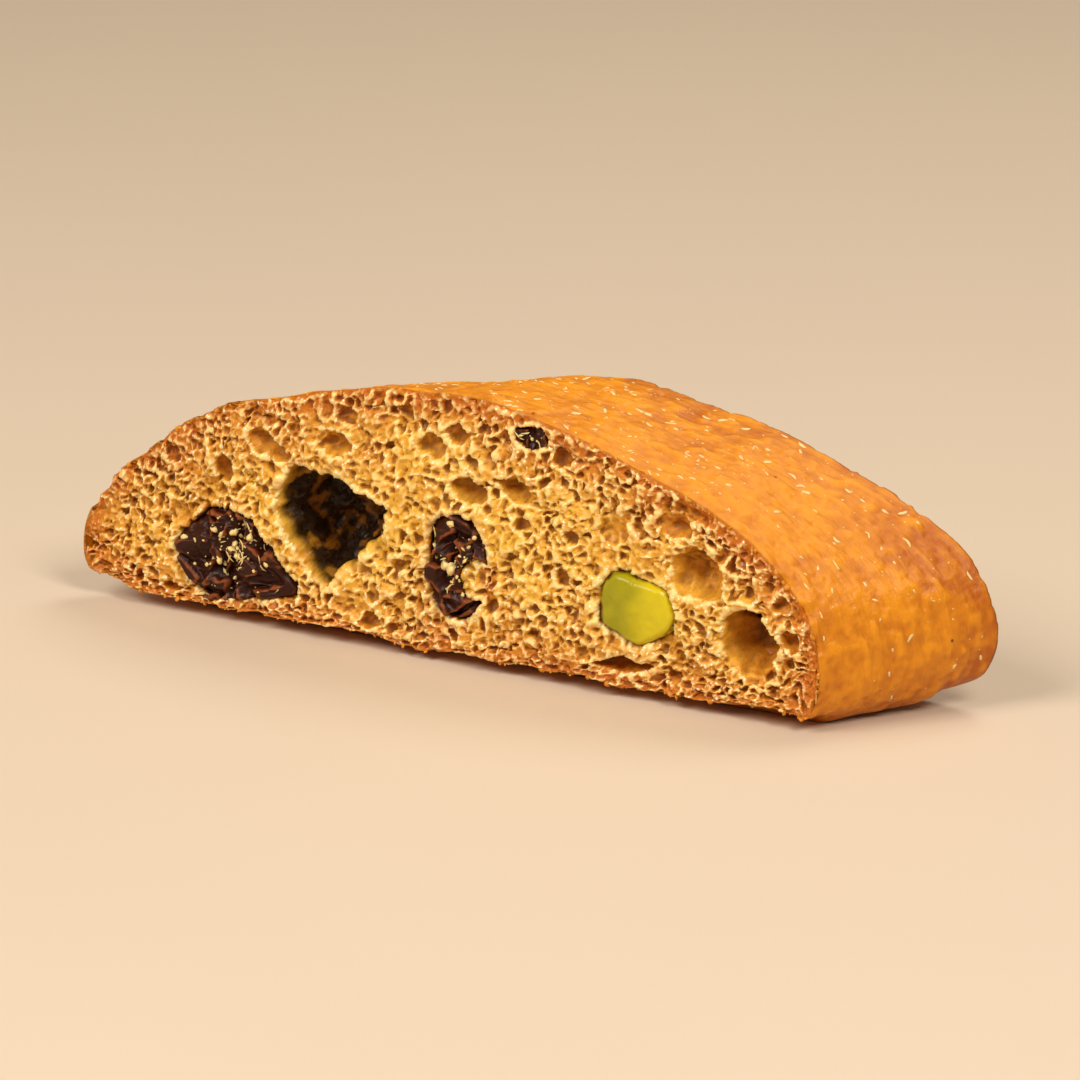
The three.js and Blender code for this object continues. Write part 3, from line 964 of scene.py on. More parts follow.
def crust_piece(sizes, finish):
    """The crust as a closed band round the loaf: its outside follows the section from the front cut to the
    back one, with its relief along the normals, and its inside meets the crumb. Both edges are chipped and
    lifted along the base as the faces are. Returns its outside, to put crumbs on."""
    count, rows = sizes.face_columns, sizes.crust_rows
    depths = np.linspace(0, 1, rows + 1)
    rings, normals = (np.array(values) for values in zip(*(ring_at(depth, count) for depth in depths)))
    through = depths[:, None] * THICKNESS
    steps = np.linalg.norm(np.diff(rings[0], axis=0, append=rings[0][:1]), axis=1)
    along = np.concatenate(([0], np.cumsum(steps)))
    relief, fine = crust_relief(rings, along[:-1], through)
    surface = rings.copy()
    surface[..., 0] += normals[..., 0] * relief
    surface[..., 2] += normals[..., 1] * relief
    for side, row, away in ((FRONT, 0, through), (BACK, -1, THICKNESS - through)):
        chip = chip_offsets(side, rings[row], normals[row], sizes.chip)
        surface += np.clip(1 - away / 1.3, 0, 1)[..., None] ** 2 * chip
    near = np.minimum(through, THICKNESS - through)
    surface[..., 2] += base_lift(rings, normals) * np.clip(1 - (near / 4.0) ** 2, 0, 1)
    surface[..., 2] = np.maximum(surface[..., 2], 0)

    inside_shares = (1 - CRUST_INSET / THICKNESS, CRUST_INSET / THICKNESS)
    inside_rows = [narrowed(ring_at(share, count)[0], share) for share in inside_shares]
    points = np.concatenate((surface, np.array(inside_rows)))
    # The seam of the map lies along the middle of the base
    start = count + (count - 2) // 2
    points = np.roll(points, -start, axis=1)
    number = np.arange(points.shape[0] * points.shape[1]).reshape(points.shape[:2])
    number = np.pad(number, ((0, 1), (0, 1)), mode="wrap")
    chart_u = np.roll(along[:-1], -start) - along[start]
    chart_u = np.append(np.where(chart_u < 0, chart_u + along[-1], chart_u), along[-1])
    chart_v = np.concatenate((through.ravel(), (THICKNESS - 2, 2, 0)))
    chart = np.stack(np.meshgrid(chart_u, chart_v), -1) / CHART_UNIT
    inside = (len(inside_rows), points.shape[1])
    # The fine relief, read by the crust's material for painted light and shade
    height = np.clip(np.roll(fine, -start, axis=1) / 0.12, -1, 1)
    fields = {
        "browning": np.concatenate((crust_browning_and_shade(points[: rows + 1], through), np.ones(inside))),
        "base": np.exp(-np.abs(points[..., 2]) / 1.6),
        "height": np.concatenate((height, np.zeros(inside))),
    }
    flat = points.reshape(-1, 3) + (CENTRE_X, 0, 0)
    chart = grid_faces(np.swapaxes(chart, 0, 1))
    make_piece("crust", flat, grid_faces(number.T), finish, "biscuit", fields, chart)
    return surface


def crust_browning_and_shade(points, through):
    """How browned the crust is: more at both ends, low down and towards the back, in uneven patches. The
    darkening at the ends and towards the back is partly real browning and partly painted shade.
    """
    ends = smoothstep(np.abs(points[..., 0]), 30, 50)
    back = smoothstep(through, 7, 16)
    low = 1 - smoothstep(points[..., 2], 0.5, 5.0)
    patches = fractal(points, 9.0, 111)
    return np.clip(0.12 + 0.3 * ends * (0.35 + back) + 0.2 * back + 0.35 * low + 0.16 * patches, 0, 1)


def ball_grid(front_rows, back_rows, columns):
    """Rings of a polar grid over a cut ball: radius shares from the middle of its front out to its edge and
    back in to the middle of its far side, and the angle round it."""
    front = np.linspace(0, 1, front_rows) ** 0.85
    back = np.sin(np.linspace(np.pi / 2, 0, back_rows))[1:]
    radius = np.concatenate((front, back))
    angle = np.linspace(0, 2 * np.pi, columns, endpoint=False)
    return radius[:, None], angle[None, :]


def close_ball(points):
    """Faces of a polar grid whose first and last rings are single points."""
    rows, columns = points.shape[:2]
    number = np.arange(rows * columns).reshape(rows, columns)
    number[0] = 0
    number[-1] = number[-1, 0]
    faces = grid_faces(np.concatenate((number, number[:, :1]), 1))
    used, faces = np.unique(faces, return_inverse=True)
    return points.reshape(-1, 3)[used], faces.reshape(-1, 3), used


def inclusion_points(name, radius, angle, front_rows, front):
    """The surface of a nut or a chunk: across the face its rounded polygon; its front by the given heights
    above the cut, rolled over at the edge; its far side a half ellipsoid."""
    side, at, half, inset, _, _ = INCLUSIONS[name]
    reach = outline_reach(name, angle)
    is_front = np.arange(len(radius))[:, None] < front_rows
    far = inset + half[1] * np.sqrt(np.clip(1 - radius**2, 0, 1)) * 0.98
    far = far * smoothstep(1 - radius, 0, 0.1) + 0.9 * (1 - smoothstep(1 - radius, 0, 0.1))
    depth = np.where(is_front, -front, far)
    across = at[0] + radius * reach * np.cos(angle)
    up = at[1] + radius * reach * np.sin(angle)
    y = side - np.sign(side) * depth
    return np.stack((across + CUT_SHIFT * side / THICKNESS + CENTRE_X, y, up), -1)


def rolled_edge(radius, reach):
    """How far a front drops as it rolls over at its edge: a quarter circle over the outer share."""
    share = np.clip((radius - (1 - reach)) / reach, 0, 1)
    return 1 - np.sqrt(np.clip(1 - share**2, 0, 1))


def nut_piece(name, crease, finish):
    """A pistachio kernel: smooth, squarish, its front two gentle slopes that meet in a soft crease with a
    nick at its top, with faint ripples and a rolled edge. Skin is left where the edge rolls over, in a band
    that is wider on the lower left, partly as painted shade."""
    middle = INCLUSIONS[name][1]
    front_rows = 60
    radius, angle = ball_grid(front_rows, 16, 180)
    right = radius * np.cos(angle)
    above = radius * np.sin(angle)
    offset, height, fall = crease
    from_crease = right - offset - 0.12 * above
    slope = np.where(from_crease < 0, fall * 1.5, fall * 0.8) * np.sqrt(from_crease**2 + 0.003)
    places = np.stack((right * 4, above * 4, 0 * right + middle[0]), -1)
    nick = 0.3 * np.exp(-(((right - offset - 0.1) / 0.07) ** 2) - ((above - 0.98) / 0.22) ** 2)
    front = height - slope - 0.3 * above**2 - 1.3 * rolled_edge(radius, 0.2) - nick
    front = front + 0.07 * noise(places, 1.5, 131) + 0.03 * noise(places, 0.6, 133)
    points = inclusion_points(name, radius, angle, front_rows, front)
    shown, faces, used = close_ball(points)
    wavy = radius + 0.06 * noise(places, 0.9, 135)
    # The skin's band is widened towards the lower left, partly painted shade of the dark gap beside the kernel
    left_skin_and_gap_shade = np.clip(np.cos(angle - math.radians(205)), 0, 1) ** 2
    skin = smoothstep(wavy + 0.13 * left_skin_and_gap_shade, 0.93, 1.0)
    fields = {
        "skin": skin.ravel()[used],
        # slope drives painted light: right of the crease painted yellower as lit, the left greener as shaded
        "slope": smoothstep(from_crease, -0.3, 0.75).ravel()[used],
        "middle": (1 - radius**2 + 0 * angle).ravel()[used],
    }
    make_piece(f"{name}_kernel", shown, faces, finish, name, fields)


def chunk_piece(name, finish, facets, roughness, detail):
    """A chunk of chocolate: its front is broken into flat facets, each round its own random place and with
    its own slope, and scored by sharp ridges. Returns the places of its front, to put crumbs on."""
    middle, half = INCLUSIONS[name][1:3]
    front_rows = int(64 * detail)
    radius, angle = ball_grid(front_rows, 16, int(260 * detail))
    right = radius * np.cos(angle) * half[0]
    above = radius * np.sin(angle) * half[2]
    random = np.random.default_rng(int(1000 + 10 * abs(middle[0])))
    places = random.uniform(-1, 1, (facets, 2)) * (half[0], half[2])
    slopes = random.normal(0, 0.5, (facets, 2))
    heights = random.uniform(-0.85, 0.2, facets)
    warp = np.stack((right, above, 0 * right), -1)
    warped_right = right + 0.45 * noise(warp, 1.1, 141)
    warped_above = above + 0.45 * noise(warp, 1.1, 142)
    apart = (warped_right[..., None] - places[:, 0]) ** 2 + (warped_above[..., None] - places[:, 1]) ** 2
    nearest = apart.argmin(-1)
    fall = (right - places[nearest, 0]) * slopes[nearest, 0]
    fall = fall + (above - places[nearest, 1]) * slopes[nearest, 1]
    front = roughness * (heights[nearest] + fall)
    front = 0.6 * front + 0.4 * blurred(front, 1)
    scored = (1 - np.abs(noise(warp * (0.5, 1.0, 1.0) + 7, 0.9, 144))) ** 6
    front = front + 0.22 * scored + 0.1 * fractal(warp, 0.8, 145) - rolled_edge(radius, 0.14)
    front = np.clip(front, -1.7, 0.35)
    if name in TONGUES:
        place, wide = TONGUES[name]
        reach = outline_reach(name, angle)
        off = np.hypot(radius * reach * np.cos(angle) - place[0], radius * reach * np.sin(angle) - place[1])
        front = front - (1.6 + front) * (1 - smoothstep(off, 0.75 * wide, 1.15 * wide))
    points = inclusion_points(name, radius, angle, front_rows, front)
    shown, faces, used = close_ball(points)
    raised = smoothstep(front - blurred(front, 4), -0.02, 0.3)
    fields = {"worn": raised.ravel()[used]}
    make_piece(f"{name}_chunk", shown, faces, finish, name, fields)
    return points[: int(front_rows * 0.9)].reshape(-1, 3) - (CENTRE_X, 0, 0)


def grains(name, places, halves, frames, bend, seed, finish):
    """Small lumpy balls as one piece: a grid of 7 rings by 9 each, pushed in and out by noise, with half
    sizes along the axes of its frame and bent by the square of its length."""
    rows, columns = 7, 9
    polar = np.linspace(0, np.pi, rows)[:, None]
    angle = np.linspace(0, 2 * np.pi, columns, endpoint=False)[None, :]
    ball = (np.cos(polar) + 0 * angle, np.sin(polar) * np.cos(angle), np.sin(polar) * np.sin(angle))
    ball = np.stack(ball, -1)
    shifts = np.random.default_rng(seed).uniform(0, 500, (len(places), 1, 1, 3))
    lumpy = ball * (1 + 0.5 * noise(ball + shifts, 0.7, seed))[..., None]
    lumpy[:, 0] = lumpy[:, 0].mean(1, keepdims=True)
    lumpy[:, -1] = lumpy[:, -1].mean(1, keepdims=True)
    lumpy = lumpy * halves[:, None, None]
    lumpy[..., 1] += bend[:, None, None] * lumpy[..., 0] ** 2
    points = np.einsum("nrcj,njk->nrck", lumpy, frames) + places[:, None, None]
    _, faces, used = close_ball(np.zeros((rows, columns, 3)))
    points = points.reshape(len(places), -1, 3)[:, used] + (CENTRE_X, 0, 0)
    faces = faces[None] + np.arange(len(places))[:, None, None] * len(used)
    return make_piece(name, points.reshape(-1, 3), faces.reshape(-1, 3), finish, "biscuit")


def crust_bits(surface, sizes, finish):
    """Pale flakes and bits on the crust: short, flat and a little bent, most of them along the streaks and
    more of them near the crown. The smallest stand for the crust's white glints, as painted highlights."""
    random = np.random.default_rng(5)
    rows, columns = surface.shape[:2]
    tries = 4 * sizes.crust_bits
    row = random.integers(3, rows - 3, tries)
    column = random.integers(0, columns, tries)
    high = surface[row, column, 2] / HEIGHT
    chance = np.clip(high * 1.1 + 0.02, 0, 1)
    kept = np.flatnonzero(random.uniform(0, 1, tries) < chance)[: sizes.crust_bits]
    row, column = row[kept], column[kept]
    along = surface[row, (column + 1) % columns] - surface[row, column - 1]
    through = surface[row + 1, column] - surface[row - 1, column]
    turn = random.normal(0, 0.5, len(kept))[:, None]
    along /= np.linalg.norm(along, axis=1, keepdims=True)
    outward = np.cross(through, along)
    outward /= np.linalg.norm(outward, axis=1, keepdims=True)
    aside = np.cross(outward, along)
    lengthways = along * np.cos(turn) + aside * np.sin(turn)
    frames = np.stack((lengthways, aside * np.cos(turn) - along * np.sin(turn), outward), 1)
    size = 0.08 + 0.55 * random.uniform(0, 1, len(kept)) ** 3.4
    halves = np.stack((size, 0.06 + 0.22 * size, 0.06 + 0.06 * size), -1)
    bend = random.normal(0, 0.35, len(kept))
    places = surface[row, column] + outward * 0.03
    return grains("crust_bits", places, halves, frames, bend, 17, finish)


def clinging_crumbs(name, spots, count, largest, drift, flakes, seed, finish):
    """Crumbs of dough and a share of slender flakes that cling to the given spots, turned at random: most of
    them near a place that lies by drift from the middle of the spots."""
    random = np.random.default_rng(seed)
    gather = spots.mean(0) + (drift[0], 0, drift[1])
    off = np.linalg.norm((spots - gather)[:, [0, 2]], axis=1)
    chance = 0.25 + np.exp(-((off / 2.4) ** 2))
    chosen = random.choice(len(spots), count, p=chance / chance.sum())
    frames, _ = np.linalg.qr(random.normal(size=(count, 3, 3)))
    size = 0.08 + (largest - 0.08) * random.uniform(0, 1, count) ** 3
    halves = size[:, None] * random.uniform(0.45, 1.5, (count, 3))
    slender = random.uniform(0, 1, count) < flakes
    turn = random.uniform(0, np.pi, count)
    flat = np.stack((np.cos(turn), 0 * turn, np.sin(turn), -np.sin(turn), 0 * turn, np.cos(turn)), -1)
    flat = np.concatenate((flat, np.tile((0.0, 1.0, 0.0), (count, 1))), 1).reshape(-1, 3, 3)
    frames = np.where(slender[:, None, None], flat, frames)
    halves = np.where(slender[:, None], (0.25, 0.05, 0.05) + size[:, None] * (1.6, 0.12, 0.06), halves)
    bend = slender * random.normal(0, 0.3, count)
    return grains(name, spots[chosen], halves, frames, bend, seed, finish)


def settle(node, values, links):
    """Sets a node's inputs: plain values, and links from the sockets that drive the others."""
    for name, value in (values or {}).items():
        node.inputs[name].default_value = value
    for name, socket in (links or {}).items():
        node.id_data.links.new(socket, node.inputs[name])
    return node


def add_node(tree, kind, settings=None, values=None, links=None):
    """Adds one shader node to a material: its settings, the values of its inputs and the sockets that drive
    them."""
    node = tree.nodes.new("ShaderNode" + kind)
    for name, value in (settings or {}).items():
        setattr(node, name, value)
    return settle(node, values, links)


def per_mm(size):
    """A texture's scale in metres for a pattern of that size in millimetres."""
    return 1000.0 / size


def rgba(colour):
    return (*colour, 1.0)


def new_finish(name):
    """An empty material, what adds a node to it, its shader and its Object coordinates."""
    finish = bpy.data.materials.new(name)
    finish.use_nodes = True
    finish.node_tree.nodes.clear()
    add = functools.partial(add_node, finish.node_tree)
    shader = add("BsdfPrincipled")
    add("OutputMaterial", links={"Surface": shader.outputs[0]})
    return finish, add, shader, add("TexCoord").outputs["Object"]


def crumb_finish(colours):
    """Twice-baked dough, torn open by the knife: dry, with thin pale walls that let light through and small
    toasted pores. Painted light is mixed into its colour: painted highlights on what stands out, painted
    white glints, and painted shade in the pits, deep behind the cut and in the large air pocket."""
    finish, add, shader, place = new_finish("twice_baked_crumb")
    names = ("bulge", "sunk", "cavern", "rim")
    bulge, sunk, cavern, rim = (add("Attribute", {"attribute_name": name}).outputs["Fac"] for name in names)
    # Clouds of 5 mm for the toasting, lumps of 1.8 mm in the hollows, and two grits, 0.6 and 0.28 mm
    noises = ({"Scale": per_mm(s), "Detail": d} for s, d in ((5.0, 3.0), (1.8, 2.0), (0.6, 3.0), (0.28, 2.0)))
    noises = [add("TexNoise", values=values, links={"Vector": place}).outputs["Fac"] for values in noises]
    clouds, lumps, grit, fine_grit = noises
    toast = add("Math", {"operation": "MULTIPLY_ADD"}, {1: 1.3, 2: -0.6}, {0: clouds}).outputs[0]
    clamped = {"operation": "MULTIPLY_ADD", "use_clamp": True}
    toast = add("Math", clamped, {1: 1.25}, {0: rim, 2: toast}).outputs[0]
    both = {6: rgba(colours.crumb_gold), 7: rgba(colours.toast_and_depth_shade)}
    colour = add("Mix", {"data_type": "RGBA"}, both, {0: toast}).outputs[2]

    # Painted shade: browner the deeper the crumb lies behind the cut
    deep = {"From Min": 0.12, "From Max": 0.6, "To Max": 0.7}
    deep = add("MapRange", values=deep, links={"Value": sunk}).outputs[0]
    # Painted shade in the small pits where bulge is low, partly their own toasted colour
    hollow = {"From Min": -0.25, "From Max": -1.0, "To Max": 0.75}
    hollow = add("MapRange", values=hollow, links={"Value": bulge}).outputs[0]
    # Painted highlight: paler where the crumb stands out of its neighbourhood, partly the thin walls' own
    # paler colour
    raised = add("Math", {"operation": "MULTIPLY_ADD"}, {1: 1.6}, {0: grit, 2: bulge}).outputs[0]
    raised = add("MapRange", values={"From Min": 0.9, "From Max": 1.9}, links={"Value": raised}).outputs[0]
    # Painted glints: white dots about 0.2 mm wide on what stands out, in place of highlights
    glint = add("TexVoronoi", values={"Scale": per_mm(0.5)}, links={"Vector": place}).outputs["Distance"]
    glint = add("MapRange", values={"From Min": 0.28, "From Max": 0.15}, links={"Value": glint}).outputs[0]
    standing = add("MapRange", values={"From Min": 0.12, "From Max": 0.45}, links={"Value": bulge}).outputs[0]
    glint = add("Math", {"operation": "MULTIPLY"}, links={0: glint, 1: standing}).outputs[0]
    # Painted shade in the large air pocket, far back and under overhangs: near black, with browner lumps
    dark = {"From Min": 0.66, "From Max": 0.5, "To Min": 0.45, "To Max": 0.97}
    dark = add("MapRange", values=dark, links={"Value": lumps}).outputs[0]
    dark = add("Math", {"operation": "MULTIPLY"}, links={0: cavern, 1: dark}).outputs[0]
    tints = (
        (deep, colours.toast_and_depth_shade),
        (hollow, colours.dark_speck_and_pit_shade),
        (raised, colours.pale_crumb_and_crest_highlight),
        (glint, colours.painted_glint),
        (dark, colours.painted_pocket_shade),
    )
    for share, tint in tints:
        colour = add("Mix", {"data_type": "RGBA"}, {7: rgba(tint)}, {0: share, 6: colour}).outputs[2]

    rough = {"From Min": 0.4, "From Max": 0.6, "To Min": 0.25, "To Max": 0.7}
    rough = add("MapRange", values=rough, links={"Value": grit}).outputs[0]
    relief = {"Strength": 0.8, "Distance": 0.12 * MM}
    relief = add("Bump", values=relief, links={"Height": fine_grit}).outputs[0]
    values = {
        "Specular IOR Level": 0.35,
        "Subsurface Weight": 0.4,
        "Subsurface Radius": (1.0, 0.5, 0.12),
        "Subsurface Scale": 0.8 * MM,
    }
    settle(shader, values, {"Base Color": colour, "Roughness": rough, "Normal": relief})
    return finish


def crust_finish(colours):
    """Crust browned by the oven: smooth and a little greasy, with fine streaks where the dough was stretched,
    patches that caught more heat and dark specks. Its bumps are painted lighter and its creases browner as
    painted light and shade, and its back and ends are browner partly as painted shade."""
    finish, add, shader, place = new_finish("browned_crust")
    names = ("browning", "base", "height")
    browning, base, height = (add("Attribute", {"attribute_name": name}).outputs["Fac"] for name in names)
    chart = add("UVMap", {"uv_map": "Around"}).outputs[0]
    # Streaks are about 3.4 mm long and 0.5 mm wide
    stretch = {"Scale": (CHART_UNIT / 3.4, CHART_UNIT / 0.5, 1.0)}
    stretched = add("Mapping", values=stretch, links={"Vector": chart}).outputs[0]
    streak = {"Scale": 1.0, "Detail": 4.0, "Roughness": 0.6}
    streak = add("TexNoise", values=streak, links={"Vector": stretched}).outputs["Fac"]
    patch, grit = (
        add("TexNoise", values={"Scale": per_mm(size), "Detail": 4.0}, links={"Vector": place}).outputs["Fac"]
        for size in (5.0, 0.7)
    )
    # Painted light and shade on the relief: bumps lighter, creases browner
    brown = add("Math", {"operation": "MULTIPLY_ADD"}, {1: 0.55, 2: -0.28}, {0: streak}).outputs[0]
    brown = add("Math", {"operation": "ADD"}, links={0: brown, 1: browning}).outputs[0]
    for weight, field in ((0.9, patch), (-0.4, height)):
        brown = add("Math", {"operation": "MULTIPLY_ADD"}, {1: weight}, {0: field, 2: brown}).outputs[0]
    brown = add("MapRange", values={"From Min": 0.42, "From Max": 1.3}, links={"Value": brown}).outputs[0]
    brown = add("Math", {"operation": "MAXIMUM"}, links={0: brown, 1: base}).outputs[0]
    both = {6: rgba(colours.crust_gold), 7: rgba(colours.browned_crust_and_shade)}
    colour = add("Mix", {"data_type": "RGBA"}, both, {0: brown}).outputs[2]
    # Dark specks 0.3 mm wide, in one of ten cells of 1.7 mm
    cell = add("TexVoronoi", values={"Scale": per_mm(1.7), "Randomness": 1.0}, links={"Vector": place})
    near = {"From Min": 0.13, "From Max": 0.08}
    near = add("MapRange", values=near, links={"Value": cell.outputs["Distance"]}).outputs[0]
    pick = add("SeparateColor", links={"Color": cell.outputs["Color"]}).outputs[0]
    chosen = add("Math", {"operation": "LESS_THAN"}, {1: 0.1}, {0: pick}).outputs[0]
    speck = add("Math", {"operation": "MULTIPLY"}, links={0: near, 1: chosen}).outputs[0]
    dark = {7: rgba(colours.dark_speck_and_pit_shade)}
    colour = add("Mix", {"data_type": "RGBA"}, dark, {0: speck, 6: colour}).outputs[2]
    rough = add("MapRange", values={"To Min": 0.3, "To Max": 0.56}, links={"Value": streak}).outputs[0]
    relief = add("Math", {"operation": "ADD"}, links={0: grit, 1: streak}).outputs[0]
    bump = {"Strength": 0.85, "Distance": 0.16 * MM}
    relief = add("Bump", values=bump, links={"Height": relief}).outputs[0]
    values = {
        "Specular IOR Level": 0.35,
        "Subsurface Weight": 0.12,
        "Subsurface Radius": (1.0, 0.45, 0.15),
        "Subsurface Scale": 0.6 * MM,
    }
    settle(shader, values, {"Base Color": colour, "Roughness": rough, "Normal": relief})
    return finish


def nut_finish(colours):
    """Pistachio kernel, cut and toasted: waxy green to yellow flesh inside a papery purple-brown skin. The
    side right of the crease is painted yellower as lit and the left greener as shaded, partly the flesh's own
    tones.
    """
    finish, add, shader, place = new_finish("toasted_pistachio")
    skin, slope = (add("Attribute", {"attribute_name": name}).outputs["Fac"] for name in ("skin", "slope"))
    # Faint grain of 1.6 mm in the flesh; the skin is torn in patches of 1.1 mm
    noises = ({"Scale": per_mm(size), "Detail": detail} for size, detail in ((1.6, 4.0), (1.1, 3.0)))
    noises = [add("TexNoise", values=values, links={"Vector": place}).outputs["Fac"] for values in noises]
    grain, torn = noises
    yellow = add("Math", {"operation": "MULTIPLY_ADD"}, {1: 0.6, 2: -0.25}, {0: grain}).outputs[0]
    clamped = {"operation": "MULTIPLY_ADD", "use_clamp": True}
    # Painted light: yellower right of the crease, which faces the light, greener on the left, partly the
    # flesh's own colours
    yellow = add("Math", clamped, {1: 0.8}, {0: slope, 2: yellow}).outputs[0]
    both = {6: rgba(colours.nut_green_shaded_side), 7: rgba(colours.nut_yellow_lit_side)}
    flesh = add("Mix", {"data_type": "RGBA"}, both, {0: yellow}).outputs[2]
    torn = add("MapRange", values={"From Min": 0.42, "From Max": 0.55}, links={"Value": torn}).outputs[0]
    covered = add("Math", {"operation": "MULTIPLY"}, links={0: skin, 1: torn}).outputs[0]
    papery = {7: rgba(colours.nut_skin)}
    colour = add("Mix", {"data_type": "RGBA"}, papery, {0: covered, 6: flesh}).outputs[2]
    bump = {"Strength": 0.25, "Distance": 0.1 * MM}
    relief = add("Bump", values=bump, links={"Height": grain}).outputs[0]
    values = {
        "Roughness": 0.3,
        "Specular IOR Level": 0.4,
        "Subsurface Weight": 0.3,
        "Subsurface Radius": (0.9, 0.8, 0.2),
        "Subsurface Scale": 1.0 * MM,
    }
    settle(shader, values, {"Base Color": colour, "Normal": relief})
    return finish


def chocolate_finish(colours):
    """Dark chocolate, baked and broken: near black with a purple-brown tint, satin on its broken facets and
    lighter where it is scraped."""
    finish, add, shader, place = new_finish("baked_dark_chocolate")
    worn = add("Attribute", {"attribute_name": "worn"}).outputs["Fac"]
    # Scrapes are about 0.9 mm across
    scrape = {"Scale": per_mm(0.9), "Detail": 5.0}
    scrape = add("TexNoise", values=scrape, links={"Vector": place}).outputs["Fac"]
    scraped = add("Math", {"operation": "MULTIPLY"}, links={0: worn, 1: scrape}).outputs[0]
    scraped = add("MapRange", values={"From Min": 0.12, "From Max": 0.5}, links={"Value": scraped}).outputs[0]
    both = {6: rgba(colours.chocolate), 7: rgba(colours.chocolate_worn)}
    colour = add("Mix", {"data_type": "RGBA"}, both, {0: scraped}).outputs[2]
    rough = add("MapRange", values={"To Min": 0.2, "To Max": 0.6}, links={"Value": scrape}).outputs[0]
    bump = {"Strength": 0.4, "Distance": 0.1 * MM}
    relief = add("Bump", values=bump, links={"Height": scrape}).outputs[0]
    settle(shader, {"Specular IOR Level": 0.25}, {"Base Color": colour, "Roughness": rough, "Normal": relief})
    return finish


def bit_finish(name, colour, roughness):
    """Loose bits of dough: dry, pale where they were torn off, a little darker in patches of 1 mm."""
    finish, add, shader, place = new_finish(name)
    tone = {"Scale": per_mm(1.0), "Detail": 3.0}
    tone = add("TexNoise", values=tone, links={"Vector": place}).outputs["Fac"]
    both = {6: rgba([c * 0.72 for c in colour]), 7: rgba(colour)}
    shade = add("Mix", {"data_type": "RGBA"}, both, {0: tone}).outputs[2]
    values = {
        "Roughness": roughness,
        "Subsurface Weight": 0.3,
        "Subsurface Radius": (1.0, 0.5, 0.2),
        "Subsurface Scale": 0.5 * MM,
    }
    settle(shader, values, {"Base Color": shade})
    return finish


def floor_finish(colours):
    """Smooth painted board, pale and matt, its tone a little uneven over 60 mm."""
    finish, add, shader, place = new_finish("painted_board")
    tone = add("TexNoise", values={"Scale": per_mm(60.0)}, links={"Vector": place}).outputs["Fac"]
    both = {6: rgba([c * 0.97 for c in colours.floor]), 7: rgba(colours.floor)}
    shade = add("Mix", {"data_type": "RGBA"}, both, {0: tone}).outputs[2]
    settle(shader, {"Roughness": 0.7}, {"Base Color": shade})
    return finish


def stage_floor(scene):
    """A large plain square under the slice."""
    mesh = bpy.data.meshes.new("floor")
    corners = [(x * FLOOR_REACH, y * FLOOR_REACH, 0) for x, y in ((-1, -1), (1, -1), (1, 1), (-1, 1))]
    mesh.from_pydata(corners, [], [(0, 1, 2, 3)])
    mesh.materials.append(floor_finish(scene.biscotti_colours))
    floor = bpy.data.objects.new("floor", mesh)
    scene.collection.objects.link(floor)


def studio_lights(scene, studio):
    """Soft square lamps that face the middle of the slice, and a faint light all round."""
    middle = Vector((0, 0, HEIGHT / 2 * MM))
    for name, place, size, colour in LIGHTS:
        lamp = bpy.data.lights.new(name, "AREA")
        lamp.size = size
        lamp.energy = getattr(studio, name)
        lamp.color = linear(colour)
        holder = bpy.data.objects.new(name, lamp)
        holder.location = place
        holder.rotation_euler = (Vector(place) - middle).to_track_quat("Z", "Y").to_euler()
        scene.collection.objects.link(holder)
    world = bpy.data.worlds.new("soft_room")
    world.use_nodes = True
    settle(
        world.node_tree.nodes["Background"],
        {"Color": rgba(linear(ROOM_COLOUR)), "Strength": studio.ambient},
        None,
    )
    scene.world = world
    scene.view_settings.view_transform = "Standard"


def studio_camera(scene, studio):
    """A camera that looks at its target from the studio's azimuth, elevation and distance, turned about its
    own axis. Its lens takes in the framed width at that distance."""
    camera = bpy.data.cameras.new("camera")
    camera.sensor_width = SENSOR
    camera.lens = SENSOR * studio.distance / studio.framed
    camera.clip_start = 0.05
    camera.clip_end = 10.0
    level = math.cos(studio.elevation)
    across, deep = math.sin(studio.azimuth) * level, -math.cos(studio.azimuth) * level
    back = Vector((across, deep, math.sin(studio.elevation)))
    holder = bpy.data.objects.new("camera", camera)
    holder.location = Vector(TARGET) + back * studio.distance
    holder.rotation_mode = "QUATERNION"
    holder.rotation_quaternion = back.to_track_quat("Z", "Y") @ Quaternion((0, 0, 1), studio.roll)
    scene.collection.objects.link(holder)
    scene.camera = holder


class BISCOTTI_OT_crumb(bpy.types.Operator):
    """Makes the open crumb behind both cut faces"""

    bl_idname = "biscotti.crumb"
    bl_label = "Crumb"

    def execute(self, context):
        finish = crumb_finish(context.scene.biscotti_colours)
        face_piece("crumb_front", FRONT, context.scene.biscotti_sizes, finish)
        face_piece("crumb_back", BACK, context.scene.biscotti_sizes, finish)
        return {"FINISHED"}


class BISCOTTI_OT_crust(bpy.types.Operator):
    """Makes the browned crust round the slice"""

    bl_idname = "biscotti.crust"
    bl_label = "Crust"

    def execute(self, context):
        colours = context.scene.biscotti_colours
        surface = crust_piece(context.scene.biscotti_sizes, crust_finish(colours))
        flakes = bit_finish("pale_flakes", colours.flake_and_glint_pale, 0.45)
        crust_bits(surface, context.scene.biscotti_sizes, flakes)
        rim = surface[0] * (0.997, 1, 0.99)
        toasted = bit_finish("toasted_crumbs", colours.crust_gold, 0.5)
        spots = rim[rim[:, 2] > 0.9]
        clinging_crumbs(
            "rim_crumbs", spots, count=150, largest=0.36, drift=(0, 0), flakes=0, seed=241, finish=toasted
        )
        return {"FINISHED"}


class BISCOTTI_OT_pistachios(bpy.types.Operator):
    """Makes the pistachio kernels"""

    bl_idname = "biscotti.pistachios"
    bl_label = "Pistachios"

    def execute(self, context):
        finish = nut_finish(context.scene.biscotti_colours)
        for name, crease in CREASES.items():
            nut_piece(name, crease, finish)
        return {"FINISHED"}


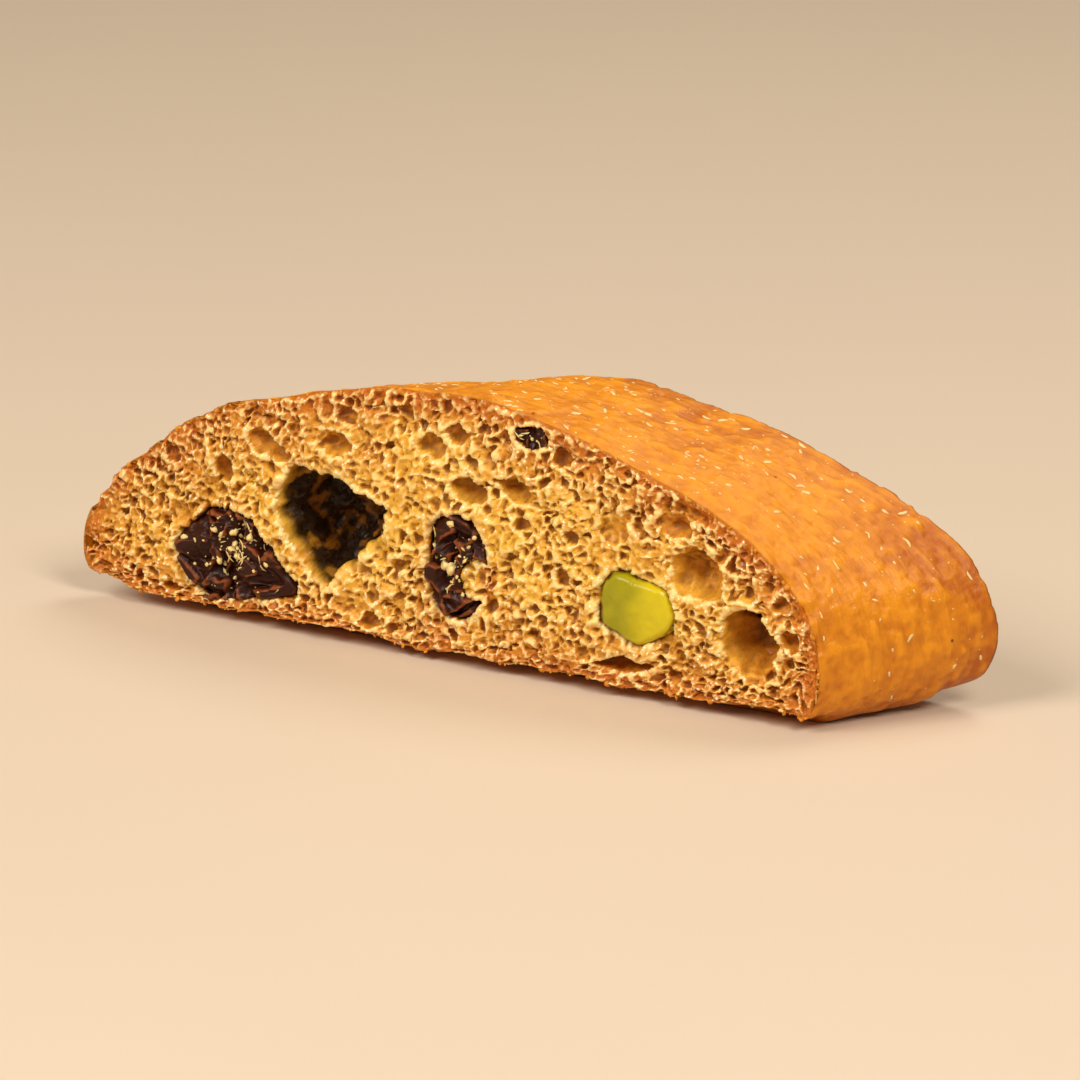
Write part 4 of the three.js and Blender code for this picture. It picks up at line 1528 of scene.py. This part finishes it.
class BISCOTTI_OT_chocolate(bpy.types.Operator):
    """Makes the chunks of dark chocolate"""

    bl_idname = "biscotti.chocolate"
    bl_label = "Chocolate"

    def execute(self, context):
        finish = chocolate_finish(context.scene.biscotti_colours)
        crumbs = bit_finish("loose_crumbs", context.scene.biscotti_colours.pale_crumb_and_crest_highlight, 0.5)
        for name, facets, roughness, detail, count, largest, drift in CHUNKS:
            spots = chunk_piece(name, finish, facets, roughness, detail)
            seed = 200 + facets
            clinging_crumbs(f"{name}_crumbs", spots, count, largest, drift, FLAKE_SHARE, seed, crumbs)
        return {"FINISHED"}


class BISCOTTI_OT_studio(bpy.types.Operator):
    """Sets up the floor, the lights and the camera"""

    bl_idname = "biscotti.studio"
    bl_label = "Studio"

    def execute(self, context):
        stage_floor(context.scene)
        studio_lights(context.scene, context.scene.biscotti_studio)
        studio_camera(context.scene, context.scene.biscotti_studio)
        return {"FINISHED"}


class BISCOTTI_PT_panel(bpy.types.Panel):
    """Lists what makes the slice"""

    bl_label = "Biscotti"
    bl_idname = "BISCOTTI_PT_panel"
    bl_space_type = "VIEW_3D"
    bl_region_type = "UI"
    bl_category = "Biscotti"

    def draw(self, context):
        for operator in OPERATORS:
            self.layout.operator(operator.bl_idname)
        for group in (getattr(context.scene, name) for name in GROUPS):
            box = self.layout.box()
            for name in group.__annotations__:
                box.prop(group, name)


OPERATORS = (
    BISCOTTI_OT_crumb,
    BISCOTTI_OT_crust,
    BISCOTTI_OT_pistachios,
    BISCOTTI_OT_chocolate,
    BISCOTTI_OT_studio,
)
GROUPS = {
    "biscotti_sizes": BiscottiSizes,
    "biscotti_colours": BiscottiColours,
    "biscotti_studio": BiscottiStudio,
}


def register():
    for group in (*GROUPS.values(), *OPERATORS, BISCOTTI_PT_panel):
        bpy.utils.register_class(group)
    for name, group in GROUPS.items():
        setattr(bpy.types.Scene, name, bpy.props.PointerProperty(type=group))


def unregister():
    for name in GROUPS:
        delattr(bpy.types.Scene, name)
    for group in reversed((*GROUPS.values(), *OPERATORS, BISCOTTI_PT_panel)):
        bpy.utils.unregister_class(group)


def main():
    for thing in [o for o in bpy.data.objects if o.name in ("Cube", "Light", "Camera")]:
        bpy.data.objects.remove(thing)
    register()
    bpy.ops.biscotti.studio()
    bpy.ops.biscotti.crumb()
    bpy.ops.biscotti.crust()
    bpy.ops.biscotti.pistachios()
    bpy.ops.biscotti.chocolate()


if __name__ == "__main__":
    main()
